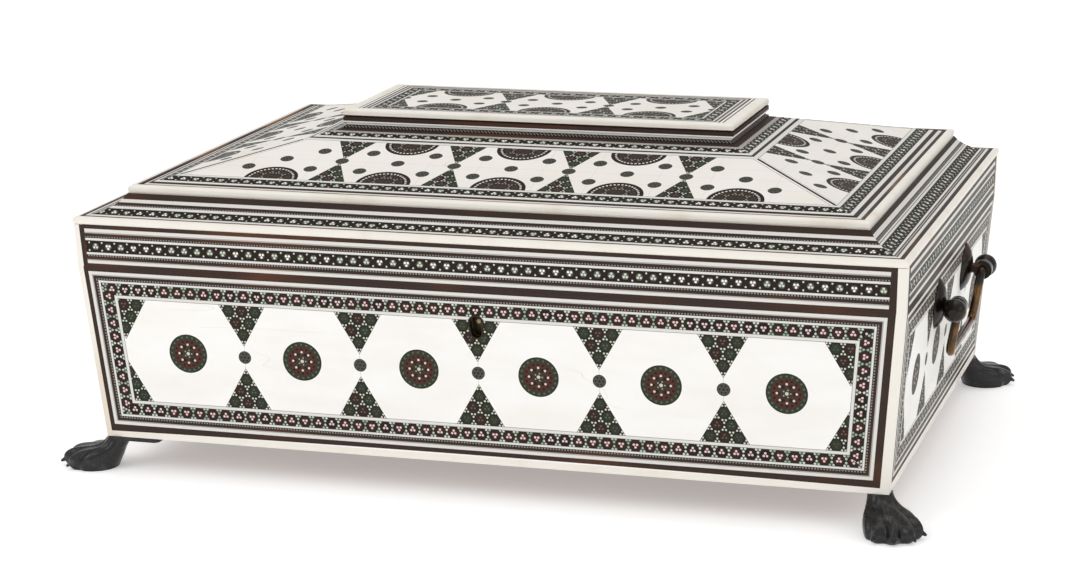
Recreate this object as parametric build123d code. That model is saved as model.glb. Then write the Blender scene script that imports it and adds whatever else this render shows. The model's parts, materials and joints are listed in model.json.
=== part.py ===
from build123d import *
import os
from math import atan2, cos, degrees, radians, sin, sqrt, tan

# Dressing table box: a leaning-walled case on four cast lion-paw feet, with a stepped and
# hipped lid, a drop handle on each end, a box lock and a lift-out tray.
# Millimetres, +Z up, the front faces -Y, origin on the floor under the middle of the box.

# Case
foot_height = 18.2
bottom_width = 411.0
bottom_depth = 275.4
case_height = 92.1
wall_lean = 5.02
wall_thickness = 10.0
inlay_thickness = 1.6
base_thickness = 8.0
edging_width = 4.6
edging_height = 3.6

# Lid, from the seam up
rail_height = 22.0
rail_lean = 2.0
rail_thickness = 9.6
nosing_overhang = 0.6
nosing_height = 4.0
nosing_width = 4.2
nosing_round = 1.7
cove_rise = 9.4
cove_sag = 2.3
upper_nosing_height = 4.0
upper_nosing_width = 5.0
upper_nosing_round = 1.6
cove_run_side = 22.8
cove_run_front = 20.4
roof_run_side = 81.3
roof_run_front = 79.7
roof_rise = 19.0
roof_drop = 0.5
roof_thickness = 6.0
plinth_seat = 8.0
plinth_height = 5.9
plinth_width = 11.0
plinth_groove = 1.5
plinth_groove_low = 0.9
plinth_groove_high = 3.2
rim_height = 4.1
rim_width = 4.6
rim_round = 1.5
panel_drop = 0.25

# Hinges
hinge_offset = 130.0
hinge_length = 36.0
knuckle_radius = 2.5
pin_radius = 1.0
pin_fit = 0.05
knuckle_gap = 0.3
barrel_clearance = 0.35
barrel_stand_off = 1.0
leaf_thickness = 1.2
leaf_width = 11.5

# Lock
keyhole_drop = 19.8
keyhole_height = 12.6
keyhole_top_radius = 4.2
keyhole_foot_radius = 3.5
lining_thickness = 0.8
lining_depth = 3.0
lining_stand = 0.2
lock_width = 44.0
lock_height = 30.0
lock_clearance = 0.1
lock_depth = 7.4
lock_wall = 1.0
key_pin_radius = 1.1
hook_offset = 11.0
hook_thickness = 1.5
hook_width = 3.4
hook_length = 10.4
hook_eye_width = 1.6
hook_eye_height = 3.6
hook_set_back = 2.9
link_plate_width = 38.0
link_plate_depth = 6.4
link_plate_thickness = 1.4
slot_clearance = 0.5
bolt_thickness = 1.1
bolt_bar_height = 2.0
bolt_prong_height = 2.4
bolt_prong_length = 3.0
bolt_post_width = 3.0
bolt_clearance = 0.3

# Drop handles
handle_drop = 19.3
handle_spread = 43.0
handle_stand = 10.5
plate_height = 26.0
plate_width = 15.0
plate_dome = 2.4
post_radius = 2.7
eye_radius = 5.0
eye_thickness = 5.0
bail_rod_radius = 2.3
bail_fit = 0.1
bail_arm_offset = 37.0
bail_corner_radius = 3.2
bail_foot_radius = 6.0
bail_length = 27.0
bail_rest_angle = 10.0
bail_ball_radius = 6.0
bail_ball_gap = 1.1
bail_boss_radius = 2.2
bail_boss_stand = 0.8
handle_bolt_radius = 1.5
handle_bolt_fit = 0.1
nut_radius = 3.8
nut_thickness = 2.4
nut_recess = 3.0

# Lion-paw feet: levels from the sole up, with the paw's reach forward and back, its half
# width and the depth of the ridges of its toes at each level, from the middle of the ankle
ankle_inset = 8.0
foot_headings = {"front_left": 180.0, "front_right": 302.0, "back_right": 50.0, "back_left": 122.0}
paw_levels = (0.0, 3.2, 7.4, 10.2, 12.0, 14.6, foot_height)
paw_front = (28.4, 31.0, 29.6, 23.6, 13.8, 9.6, 6.8)
paw_back = (3.4, 2.0, 0.0, -1.2, -2.2, -3.6, -6.4)
paw_half_width = (12.8, 13.8, 13.2, 11.4, 9.0, 7.3, 6.6)
toe_ridge = (0.9, 1.5, 1.8, 1.6, 0.9, 0.3, 0.0)
toe_pitch = 38.0
toe_count = 4
points_per_toe = 4
claw_length = 3.8
claw_root_radius = 1.6
claw_tip_radius = 0.6
claw_height = 3.2
claw_tilt = 26.0
tab_length = 22.0
tab_width = 9.0
tab_thickness = 2.6
tab_corner_radius = 3.0
peg_radius = 2.2
peg_length = 6.0
peg_fit = 0.1

# Lift-out tray
tray_depth_below_seam = 2.3
tray_height = 30.0
tray_gap = 1.0
tray_side = 5.0
tray_base = 3.0
divider_thickness = 3.6
divider_drop = 2.0
column_pitch = 132.0
grip_length = 74.0
grip_rise = 11.0
finger_hole_length = 30.0
finger_hole_height = 12.0
finger_hole_margin = 5.0
rest_width = 6.0
rest_height = 7.0

# Heights and plan sizes worked out from the sizes above
case_bottom = foot_height
seam = case_bottom + case_height
lean = tan(radians(wall_lean))
keyhole_z = seam - keyhole_drop
handle_z = seam - handle_drop
nosing_z = seam + rail_height
upper_nosing_z = nosing_z + nosing_height + cove_rise
roof_foot_z = upper_nosing_z + upper_nosing_height - roof_drop
plinth_z = roof_foot_z + roof_rise
rim_z = plinth_z + plinth_height
FAR = 600.0
TURN = 90.0


def wall_half(z, inset=0.0):
    """Half width and half depth of the leaning case at height z, drawn in by inset."""
    out = (z - case_bottom) * lean - inset
    return bottom_width / 2 + out, bottom_depth / 2 + out


seam_half = wall_half(seam)
rail_out = rail_height * tan(radians(rail_lean))
lid_half = (seam_half[0] + rail_out + nosing_overhang, seam_half[1] + rail_out + nosing_overhang)
cove_half = (lid_half[0] - cove_run_side - upper_nosing_width,
             lid_half[1] - cove_run_front - upper_nosing_width)
plinth_half = (cove_half[0] - roof_run_side, cove_half[1] - roof_run_front)


def frustum(z_low, half_low, z_high, half_high):
    """Solid with a rectangular plan that changes evenly from one height to another."""
    low = Plane.XY.offset(z_low) * Rectangle(2 * half_low[0], 2 * half_low[1])
    high = Plane.XY.offset(z_high) * Rectangle(2 * half_high[0], 2 * half_high[1])
    return loft([low, high], ruled=True)


def case_block(inset, z_low, z_high):
    """Solid that fills the leaning case between two heights, drawn in by inset."""
    return frustum(z_low, wall_half(z_low, inset), z_high, wall_half(z_high, inset))


def wedge(side, outer, inner):
    """Plan wedge of one side, bounded by the mitre lines through the outer and inner corners."""
    step_x, step_y = outer[0] - inner[0], outer[1] - inner[1]
    far_x, far_y = outer[0] + step_x * FAR / step_y, outer[1] + FAR
    near_x = outer[0] - step_x * outer[1] / step_y
    plans = {
        "front": [(-far_x, -far_y), (far_x, -far_y), (near_x, 0), (-near_x, 0)],
        "back": [(-far_x, far_y), (-near_x, 0), (near_x, 0), (far_x, far_y)],
        "left": [(-far_x, -far_y), (-near_x, 0), (-far_x, far_y)],
        "right": [(far_x, -far_y), (far_x, far_y), (near_x, 0)],
    }
    face = make_face(Polyline(*plans[side], close=True))
    return extrude(face, amount=FAR)


SIDES = ("front", "back", "left", "right")


def side_plane(side, half):
    """Sketch plane across one side: its x runs inwards from the half size, its y runs up."""
    planes = {
        "front": Plane(origin=(0, -half[1], 0), x_dir=(0, 1, 0), z_dir=(1, 0, 0)),
        "back": Plane(origin=(0, half[1], 0), x_dir=(0, -1, 0), z_dir=(-1, 0, 0)),
        "left": Plane(origin=(-half[0], 0, 0), x_dir=(1, 0, 0), z_dir=(0, -1, 0)),
        "right": Plane(origin=(half[0], 0, 0), x_dir=(-1, 0, 0), z_dir=(0, 1, 0)),
    }
    return planes[side]


def mitred(side, section, outer, inner):
    """One mitred length. section(ratio) draws the profile with its insets scaled by ratio."""
    ratio = 1.0
    if side in ("left", "right"):
        ratio = (outer[0] - inner[0]) / (outer[1] - inner[1])
    bar = extrude(side_plane(side, outer) * section(ratio), amount=FAR, both=True)
    return bar & wedge(side, outer, inner)


def mitred_ring(section, outer, inner):
    """The four mitred lengths of a frame, by side."""
    return {side: mitred(side, section, outer, inner) for side in SIDES}


def strip_section(inset, z, width, height, round_over):
    """Profile of a strip whose outer edges are rounded over."""
    def draw(ratio):
        middle = Pos((inset + width / 2) * ratio, z + height / 2)
        face = middle * Rectangle(width * ratio, height)
        return fillet(face.vertices().sort_by(Axis.X)[:2], round_over)
    return draw


def face_plane(side, z, across=0.0):
    """Plane on the leaning outer face: x runs along the wall, y up it, z out of it."""
    half = wall_half(z)
    lean_angle = radians(wall_lean)
    if side == "front":
        normal = (0, -cos(lean_angle), -sin(lean_angle))
        return Plane(origin=(across, -half[1], z), x_dir=(1, 0, 0), z_dir=normal)
    normal = (cos(lean_angle), 0, -sin(lean_angle))
    return Plane(origin=(half[0], across, z), x_dir=(0, 1, 0), z_dir=normal)


# Case walls and their inlaid skins

def keyhole(shrink=0.0):
    """Keyhole outline: round at the top and a little narrower at the foot."""
    rise = keyhole_height / 2
    top = Pos(0, rise - keyhole_top_radius) * Circle(keyhole_top_radius - shrink)
    foot = Pos(0, keyhole_foot_radius - rise) * Circle(keyhole_foot_radius - shrink)
    return make_hull(top.edges() + foot.edges())


def keyhole_cutter():
    """Prism of the keyhole through the front wall."""
    sketch = face_plane("front", keyhole_z) * keyhole()
    return extrude(sketch, amount=2 * wall_thickness, both=True)


def lock_front():
    """Depth of the lock's front, just behind the lower inner end of the keyhole's lining."""
    keyhole_low = keyhole_z - keyhole_height / 2
    return wall_half(keyhole_low)[1] - lining_depth - lock_clearance


def hook_line():
    """Depth of the middle of the hooks and of the bolt."""
    return lock_front() - hook_set_back


def lock_middle():
    """Middle of the lock in depth and in height."""
    return -lock_front() + lock_depth / 2, seam - lock_height / 2


def lock_pocket():
    """Mortise for the lock, open to the inside and to the top edge of the front wall."""
    y = -lock_front() + wall_thickness
    return Pos(0, y, seam - lock_height / 2) * Box(lock_width, 2 * wall_thickness, lock_height)


def hinge_line():
    """Depth of the hinge pins behind the middle of the box."""
    return seam_half[1] + barrel_stand_off


def rod(radius, length, centre):
    """Round bar along X."""
    return Pos(*centre) * Rot(0, TURN, 0) * Cylinder(radius, length)


def barrel_grooves():
    """Room around both hinge barrels."""
    radius = knuckle_radius + barrel_clearance
    length = hinge_length + 2 * knuckle_gap
    return [rod(radius, length, (s * hinge_offset, hinge_line(), seam)) for s in (-1, 1)]


def leaf_centre(side, above):
    """Centre of the flat of a hinge leaf, on the left or right, above or below the seam."""
    z = seam + (leaf_thickness / 2 if above else -leaf_thickness / 2)
    return side * hinge_offset, hinge_line() - knuckle_radius - barrel_clearance, z


def leaf_flat(side, above, growth=0.0):
    """Flat of one hinge leaf, or its recess where growth carries it past the barrel."""
    x, y, z = leaf_centre(side, above)
    middle = y - leaf_width / 2 + growth / 2
    return Pos(x, middle, z) * Box(hinge_length, leaf_width + growth, leaf_thickness)


def handle_bolt_cutters():
    """Bolt holes of the handles and the sunk seats of their nuts, for both ends."""
    cutters = []
    for across in (-handle_spread, handle_spread):
        plane = face_plane("right", handle_z, across)
        hole = extrude(plane * Circle(handle_bolt_radius + handle_bolt_fit),
                       amount=-2 * wall_thickness)
        seat_plane = plane.offset(nut_recess - wall_thickness)
        seat = extrude(seat_plane * Circle(nut_radius), amount=-wall_thickness)
        cutters += [hole, seat]
    return cutters + [mirror(c, about=Plane.YZ) for c in cutters]


def foot_places():
    """Point of each foot's ankle in plan."""
    half = wall_half(case_bottom)
    inset = ankle_inset / sqrt(2)
    corners = {"front_left": (-1, -1), "front_right": (1, -1),
               "back_right": (1, 1), "back_left": (-1, 1)}
    return {name: (sx * (half[0] - inset), sy * (half[1] - inset))
            for name, (sx, sy) in corners.items()}


def foot_frame(name):
    """Frame of a foot: x points out along its toes, origin on the floor under the ankle."""
    x, y = foot_places()[name]
    return Pos(x, y, 0) * Rot(0, 0, foot_headings[name])


def peg_cutters():
    """Sockets for the pegs that stand on the ankles."""
    radius = peg_radius + peg_fit
    z = case_bottom + peg_length / 2
    return [foot_frame(name) * Pos(0, 0, z) * Cylinder(radius, peg_length) for name in foot_places()]


def case_walls():
    """The four mitred walls, bored and mortised for what they carry."""
    shell = case_block(inlay_thickness, case_bottom, seam) - case_block(
        wall_thickness, case_bottom, seam)
    corner = wall_half(case_bottom)
    inner = wall_half(case_bottom, wall_thickness)
    walls = {side: shell & wedge(side, corner, inner) for side in SIDES}
    walls["front"] -= keyhole_cutter()
    walls["front"] -= lock_pocket()
    for cutter in barrel_grooves():
        walls["back"] -= cutter
    for side in (-1, 1):
        walls["back"] -= leaf_flat(side, False, leaf_width)
    for side in ("left", "right"):
        for cutter in handle_bolt_cutters():
            walls[side] -= cutter
    for cutter in peg_cutters():
        walls = {side: wall - cutter for side, wall in walls.items()}
    return walls


def face_prism(axis, z_low, z_high, half_low, half_high, margin):
    """Prism through the box along X or Y that leaves margin free beside each corner."""
    low, high = half_low - margin, half_high - margin
    points = [(-low, z_low), (low, z_low), (high, z_high), (-high, z_high)]
    plane = Plane.XZ if axis == "y" else Plane.YZ
    return extrude(plane * make_face(Polyline(*points, close=True)), amount=FAR, both=True)


def case_prisms(z_low):
    """Prisms that part the inlaid faces of the case from its corner edgings."""
    low, high = wall_half(z_low), wall_half(seam)
    along_y = face_prism("y", z_low, seam, low[0], high[0], edging_width)
    along_x = face_prism("x", z_low, seam, low[1], high[1], edging_width)
    return along_y, along_x


def case_skin():
    """Inlaid faces, corner edgings and bottom edgings of the case."""
    skin = case_block(0, case_bottom, seam) - case_block(inlay_thickness, case_bottom, seam)
    across, along = case_prisms(case_bottom)
    corners = (skin - across - along).solids()
    top = case_bottom + edging_height
    foot_slab = Pos(0, 0, case_bottom + edging_height / 2) * Box(2 * FAR, 2 * FAR, edging_height)
    bottom = [s for prism in (across, along) for s in (skin & prism & foot_slab).solids()]
    across, along = case_prisms(top)
    front, back = (skin & across).solids().sort_by(Axis.Y)
    left, right = (skin & along).solids().sort_by(Axis.X)
    front -= keyhole_cutter()
    for cutter in barrel_grooves():
        back -= cutter
    for side in (-1, 1):
        back -= leaf_flat(side, False, leaf_width)
    for cutter in handle_bolt_cutters():
        left -= cutter
        right -= cutter
    inlays = {"front": front, "back": back, "left": left, "right": right}
    return inlays, corners, bottom


def base_board():
    """Bottom of the case, held between the leaning walls."""
    return case_block(wall_thickness, case_bottom, case_bottom + base_thickness)


def tray_rests():
    """Ledges on the end walls that carry the tray."""
    top = tray_z()
    low = top - rest_height
    half_low, half_high = wall_half(low, wall_thickness), wall_half(top, wall_thickness)
    reach = half_low[1] - rest_width
    rests = []
    for s in (-1, 1):
        points = [(half_low[0], low), (half_high[0], top), (half_low[0] - rest_width, top),
                  (half_low[0] - rest_width, low + rest_height / 3)]
        face = make_face(Polyline(*[(s * x, z) for x, z in points], close=True))
        rests.append(extrude(Plane.XZ * face, amount=reach, both=True))
    return rests


# Lock, keyhole lining and link plate

def keyhole_lining():
    """Thin metal lining of the keyhole."""
    plane = face_plane("front", keyhole_z)
    ring = keyhole() - keyhole(lining_thickness)
    return extrude(plane.offset(-lining_depth) * ring, amount=lining_depth + lining_stand)


def hook_slots(clearance):
    """Prisms of the two hooks, grown by a clearance."""
    size = (hook_thickness + 2 * clearance, hook_width + 2 * clearance, 2 * hook_length)
    return [Pos(s * hook_offset, -hook_line(), seam) * Box(*size) for s in (-1, 1)]


def lock_case():
    """Open lock body with its top plate slotted for the hooks, a guide rib and the key pin."""
    y, z = lock_middle()
    body = Pos(0, y, z) * Box(lock_width, lock_depth, lock_height)
    room = Pos(0, y, z) * Box(lock_width - 2 * lock_wall, lock_depth - 2 * lock_wall,
                              lock_height - 2 * lock_wall)
    body -= room
    for slot in hook_slots(slot_clearance):
        body -= slot
    body -= extrude(face_plane("front", keyhole_z) * keyhole(lining_thickness), amount=-lock_depth)
    rib_top = bolt_bar_z() - bolt_clearance / 3
    body += Pos(0, y, rib_top - lock_wall / 2) * Box(lock_width - lock_wall, lock_depth - lock_wall,
                                                     lock_wall)
    pin_z = keyhole_z + keyhole_height / 2 - keyhole_top_radius
    pin = Pos(0, y, pin_z) * Rot(TURN, 0, 0) * Cylinder(key_pin_radius, lock_depth - lock_wall)
    return body + pin


def bolt_bar_z():
    """Lower edge of the lock bolt's bar."""
    return seam - hook_length - bolt_clearance - bolt_bar_height


def lock_bolt():
    """Sliding bolt: a bar with two posts, each ending in a prong that enters a hook's eye."""
    z = bolt_bar_z()
    eye_middle = seam - hook_length + hook_eye_height / 2 + link_plate_thickness / 4
    prong_low = eye_middle - bolt_prong_height / 2
    prong_high = prong_low + bolt_prong_height
    start = -hook_offset - hook_thickness / 2 - bolt_clearance - bolt_prong_length
    second = start + 2 * hook_offset
    bar_left, bar_right = start - bolt_post_width, second
    plane = Plane(origin=(0, -hook_line(), 0), x_dir=(1, 0, 0), z_dir=(0, -1, 0))
    outline = make_face(Polyline(
        (bar_left, z), (bar_right, z), (bar_right, z + bolt_bar_height),
        (second, prong_low), (second + bolt_prong_length, prong_low),
        (second + bolt_prong_length, prong_high), (second - bolt_post_width, prong_high),
        (second - bolt_post_width, z + bolt_bar_height), (start, z + bolt_bar_height),
        (start, prong_low), (start + bolt_prong_length, prong_low),
        (start + bolt_prong_length, prong_high), (bar_left, prong_high), close=True))
    return extrude(plane * outline, amount=bolt_thickness / 2, both=True)


def link_plate_block():
    """Recess and flat of the link plate in the front rail."""
    y = -hook_line() - (link_plate_depth - hook_width) / 2
    z = seam + link_plate_thickness / 2
    return Pos(0, y, z) * Box(link_plate_width, link_plate_depth, link_plate_thickness)


def link_plate():
    """Plate under the lid's front rail with two eyed hooks."""
    plate = link_plate_block()
    for s in (-1, 1):
        size = (hook_thickness, hook_width, hook_length)
        hook = Pos(s * hook_offset, -hook_line(), seam - hook_length / 2) * Box(*size)
        eye_z = seam - hook_length + hook_eye_height / 2 + link_plate_thickness / 4
        eye = Pos(s * hook_offset, -hook_line(), eye_z) * Box(
            2 * hook_thickness, hook_eye_width, hook_eye_height)
        hook = fillet(hook.edges().filter_by(Axis.X).group_by(Axis.Z)[0], hook_width / 4)
        plate += hook - eye
    return plate


# Hinges

def knuckle_spans():
    """Start and end of the three knuckles along the pin, outer ones on the case."""
    third = hinge_length / 3
    half_gap = knuckle_gap / 2
    edges = [-hinge_length / 2, -third / 2, third / 2, hinge_length / 2]
    return [(edges[0], edges[1] - half_gap), (edges[1] + half_gap, edges[2] - half_gap),
            (edges[2] + half_gap, edges[3])]


def hinge_leaf(side, above):
    """One leaf with its knuckles, bored for the pin."""
    leaf = leaf_flat(side, above)
    x, y, z = leaf_centre(side, above)
    spans = knuckle_spans()[1:2] if above else knuckle_spans()[0::2]
    for low, high in spans:
        middle, length = x + (low + high) / 2, high - low
        leaf += rod(knuckle_radius, length, (middle, hinge_line(), seam))
        reach = knuckle_radius + barrel_clearance
        leaf += Pos(middle, y + reach / 2, z) * Box(length, reach, leaf_thickness)
    leaf -= rod(pin_radius + pin_fit, 2 * hinge_length, (x, hinge_line(), seam))
    return leaf


def hinge_pins():
    """The two hinge pins."""
    return [rod(pin_radius, hinge_length, (s * hinge_offset, hinge_line(), seam)) for s in (-1, 1)]


# Drop handles, drawn on the right end and mirrored to the left

def plate_outline(share):
    """Pointed oval of the handle plate, shrunk to a share of its size."""
    height, width = plate_height * share, plate_width * share
    left = ThreePointArc((0, -height / 2), (-width / 2, 0), (0, height / 2))
    right = ThreePointArc((0, height / 2), (width / 2, 0), (0, -height / 2))
    return make_face(left + right)


def handle_plate(across):
    """Domed back plate, bored for the post's bolt."""
    plane = face_plane("right", handle_z, across)
    shares = (1.0, 0.9, 0.68, 0.42)
    heights = (0.0, 0.42, 0.82, 1.0)
    sections = [plane.offset(h * plate_dome) * plate_outline(s) for s, h in zip(shares, heights)]
    plate = loft(sections, ruled=True)
    return plate - extrude(plane * Circle(handle_bolt_radius + handle_bolt_fit), amount=plate_dome)


def handle_post(across):
    """Post with the eye that the bail turns in, and the bolt behind it."""
    plane = face_plane("right", handle_z, across)
    post = extrude(plane.offset(plate_dome) * Circle(post_radius), amount=handle_stand - plate_dome)
    eye_plane = Plane(origin=plane.from_local_coords((0, 0, handle_stand)), x_dir=(1, 0, 0),
                      z_dir=(0, 1, 0))
    post += extrude(eye_plane * Circle(eye_radius), amount=eye_thickness / 2, both=True)
    post += extrude(plane.offset(plate_dome) * Circle(handle_bolt_radius),
                    amount=nut_recess - nut_thickness - wall_thickness - plate_dome)
    bore = extrude(eye_plane * Circle(bail_rod_radius + bail_fit), amount=eye_thickness, both=True)
    return post - bore


def handle_nut(across):
    """Six-sided nut sunk into the inner face of the wall."""
    plane = face_plane("right", handle_z, across).offset(nut_recess - wall_thickness)
    ring = RegularPolygon(nut_radius, 6) - Circle(handle_bolt_radius)
    return extrude(plane * ring, amount=-nut_thickness)


def bail_axis():
    """Where the right bail's pivot line crosses the middle of the box."""
    return face_plane("right", handle_z).from_local_coords((0, 0, handle_stand))


def bail():
    """Drop handle of the right end: a bent rod whose turned-out ends finish in balls."""
    ball = handle_spread + eye_thickness / 2 + bail_ball_gap + sqrt(
        bail_ball_radius ** 2 - bail_rod_radius ** 2)
    path = FilletPolyline(
        (0, ball, 0), (0, bail_arm_offset, 0), (0, bail_arm_offset, -bail_length),
        (0, -bail_arm_offset, -bail_length), (0, -bail_arm_offset, 0), (0, -ball, 0),
        radius=[bail_corner_radius, bail_foot_radius, bail_foot_radius, bail_corner_radius])
    start = Plane(origin=(0, ball, 0), z_dir=(0, -1, 0))
    body = sweep(start * Circle(bail_rod_radius), path=path)
    for s in (-1, 1):
        body += Pos(0, s * ball, 0) * Sphere(bail_ball_radius)
        boss_y = s * (ball + bail_ball_radius)
        body += Pos(0, boss_y, 0) * Rot(TURN, 0, 0) * Cylinder(bail_boss_radius, 2 * bail_boss_stand)
    pivot = bail_axis()
    return Pos(pivot.X, 0, pivot.Z) * Rot(0, bail_rest_angle, 0) * body


# Lion-paw feet

def paw_point(level, turn):
    """Point of the paw's outline on one level, at a turn in degrees from straight ahead."""
    middle = (paw_front[level] + paw_back[level]) / 2
    half_length = (paw_front[level] - paw_back[level]) / 2
    fan = toe_pitch * toe_count / 2
    share = max(0.0, 1 - (abs(turn) / (fan + toe_pitch / 2)) ** 4)
    ridge = -toe_ridge[level] * share * cos(radians(turn) * 4 * TURN / toe_pitch)
    x = middle + (half_length + ridge) * cos(radians(turn))
    y = (paw_half_width[level] + ridge) * sin(radians(turn))
    return x, y


def paw_section(level):
    """Closed curve of the paw on one level, with a ridge for each toe."""
    count = round(4 * TURN * points_per_toe / toe_pitch)
    turns = [4 * TURN * k / count - 2 * TURN for k in range(count)]
    curve = Spline(*[paw_point(level, turn) for turn in turns], periodic=True)
    return Pos(0, 0, paw_levels[level]) * make_face(curve)


def claw(turn):
    """Claw that points forward and down from the end of one toe."""
    level = paw_levels.index(max(z for z in paw_levels if z <= claw_height))
    x, y = paw_point(level, turn)
    heading = degrees(atan2(y, x - (paw_front[level] + paw_back[level]) / 2))
    horn = Cone(claw_root_radius, claw_tip_radius, claw_length)
    place = Pos(x, y, claw_height) * Rot(0, 0, heading) * Rot(0, TURN + claw_tilt, 0)
    return place * horn


def paw():
    """Cast foot in its own frame: leg and four-toed paw, claws, mounting tab and peg."""
    body = loft([paw_section(level) for level in range(len(paw_levels))])
    for toe in range(toe_count):
        body += claw(toe_pitch * (toe - (toe_count - 1) / 2))
    tab = Pos(-tab_length / 2, 0) * RectangleRounded(tab_length, tab_width, tab_corner_radius)
    body += extrude(Plane.XY.offset(case_bottom - tab_thickness) * tab, amount=tab_thickness)
    body += Pos(0, 0, case_bottom + peg_length / 2) * Cylinder(peg_radius, peg_length)
    return body


# Lid

def lid_rail_section(ratio):
    """Profile of the lid's lower frame: leaning a little, with its inner face square."""
    top_inset = nosing_overhang
    seam_inset = top_inset + rail_out
    inner = seam_inset + rail_thickness
    points = [(seam_inset, seam), (inner, seam), (inner, nosing_z), (top_inset, nosing_z)]
    return make_face(Polyline(*[(u * ratio, v) for u, v in points], close=True))


def square_corner(half, inset):
    """The corner drawn in equally on both sides, which makes a 45 degree mitre."""
    return half[0] - inset, half[1] - inset


def lid_rails():
    """The four mitred rails, their corners rebated for the edgings, and the edgings."""
    rails = mitred_ring(lid_rail_section, lid_half, square_corner(lid_half, rail_thickness))
    low = seam_half
    high = (seam_half[0] + rail_out, seam_half[1] + rail_out)
    thin = inlay_thickness
    shell = frustum(seam, low, nosing_z, high) - frustum(
        seam, (low[0] - thin, low[1] - thin), nosing_z, (high[0] - thin, high[1] - thin))
    across = face_prism("y", seam, nosing_z, low[0], high[0], edging_width)
    along = face_prism("x", seam, nosing_z, low[1], high[1], edging_width)
    corners = shell - across - along
    rails = {side: rail - corners for side, rail in rails.items()}
    rails["front"] -= link_plate_block()
    for cutter in barrel_grooves():
        rails["back"] -= cutter
    for side in (-1, 1):
        rails["back"] -= leaf_flat(side, True, leaf_width)
    return rails, corners.solids()


def cove_section(ratio):
    """Hollow moulding between the two nosings."""
    low, high = nosing_width, cove_run_front
    base_z, top_z = nosing_z, upper_nosing_z
    start, end = (low, nosing_z + nosing_height), (high, top_z)
    run, rise = end[0] - start[0], end[1] - start[1]
    length = sqrt(run * run + rise * rise)
    middle = ((start[0] + end[0]) / 2 + cove_sag * rise / length,
              (start[1] + end[1]) / 2 - cove_sag * run / length)
    inner = cove_run_front + upper_nosing_width
    lines = Polyline((end[0] * ratio, end[1]), (inner * ratio, top_z), (inner * ratio, base_z),
                     (low * ratio, base_z), (start[0] * ratio, start[1]))
    hollow = ThreePointArc((start[0] * ratio, start[1]), (middle[0] * ratio, middle[1]),
                           (end[0] * ratio, end[1]))
    return make_face(lines + hollow)


def roof_section(ratio):
    """Sloping roof board with a level seat for the plinth at its upper edge."""
    slope = roof_rise / roof_run_front
    drop = roof_thickness * sqrt(1 + slope * slope)
    inner = roof_run_front + plinth_seat
    points = [(0, roof_foot_z), (0, roof_foot_z - drop), (inner, roof_foot_z - drop + slope * inner),
              (inner, plinth_z), (roof_run_front, plinth_z)]
    return make_face(Polyline(*[(u * ratio, v) for u, v in points], close=True))


def plinth_section(ratio):
    """Frame under the top, with a hollow running round it."""
    low, high = plinth_z + plinth_groove_low, plinth_z + plinth_groove_high
    top = plinth_z + plinth_height
    lines = Polyline((0, high), (0, top), (plinth_width, top), (plinth_width, plinth_z),
                     (0, plinth_z), (0, low))
    hollow = ThreePointArc((0, low), (plinth_groove, (low + high) / 2), (0, high))
    return make_face(lines + hollow)


def top_panel():
    """Flat top, set inside the rim and resting on the plinth frame."""
    thickness = rim_height - panel_drop
    half_x, half_y = plinth_half[0] - rim_width, plinth_half[1] - rim_width
    return Pos(0, 0, rim_z + thickness / 2) * Box(2 * half_x, 2 * half_y, thickness)


# Tray

def tray_z():
    """Underside of the tray."""
    return seam - tray_depth_below_seam - tray_height


def tray_half():
    """Half width and half depth of the tray over its sides."""
    return wall_half(tray_z(), wall_thickness + tray_gap)


def tray_box(low, high):
    """Block between two corners."""
    middle = [(a + b) / 2 for a, b in zip(low, high)]
    return Pos(*middle) * Box(*[b - a for a, b in zip(low, high)])


def tray_sides():
    """Long and short sides of the tray, halved into each other as pairs."""
    half_x, half_y = tray_half()
    z, top = tray_z(), tray_z() + tray_height
    longs = [tray_box((-half_x, s * half_y - max(s, 0) * tray_side, z),
                      (half_x, s * half_y + max(-s, 0) * tray_side, top)) for s in (-1, 1)]
    inner_y = half_y - tray_side
    shorts = [tray_box((s * half_x - max(s, 0) * tray_side, -inner_y, z),
                       (s * half_x + max(-s, 0) * tray_side, inner_y, top)) for s in (-1, 1)]
    return longs, shorts


def tray_bottom():
    """Bottom of the tray, held between its sides."""
    half_x, half_y = tray_half()
    x, y, z = half_x - tray_side, half_y - tray_side, tray_z()
    return tray_box((-x, -y, z), (x, y, z + tray_base))


def tray_divider():
    """Long divider whose middle rises into a grip with a finger hole."""
    half_x, _ = tray_half()
    x = half_x - tray_side
    low = tray_z() + tray_base
    top = tray_z() + tray_height - divider_drop
    crown = top + grip_rise
    half_grip = grip_length / 2
    outline = (Polyline((-half_grip, top), (-x, top), (-x, low), (x, low), (x, top),
                        (half_grip, top))
               + ThreePointArc((half_grip, top), (0, crown), (-half_grip, top)))
    hole_z = crown - finger_hole_height / 2 - finger_hole_margin
    hole = Pos(0, hole_z) * SlotOverall(finger_hole_length, finger_hole_height)
    face = make_face(outline) - hole
    return extrude(Plane.XZ * face, amount=divider_thickness / 2, both=True)


def tray_cross_dividers():
    """Short dividers that part each row into columns."""
    half_y = tray_half()[1] - tray_side
    low, top = tray_z() + tray_base, tray_z() + tray_height - divider_drop
    thin = divider_thickness / 2
    dividers = []
    for x in (-column_pitch / 2, column_pitch / 2):
        dividers.append(tray_box((x - thin, -half_y, low), (x + thin, -thin, top)))
        dividers.append(tray_box((x - thin, thin, low), (x + thin, half_y, top)))
    return dividers


# Assembly

def mirrored(shape):
    """The same shape on the other end of the box."""
    return mirror(shape, about=Plane.YZ)


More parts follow.
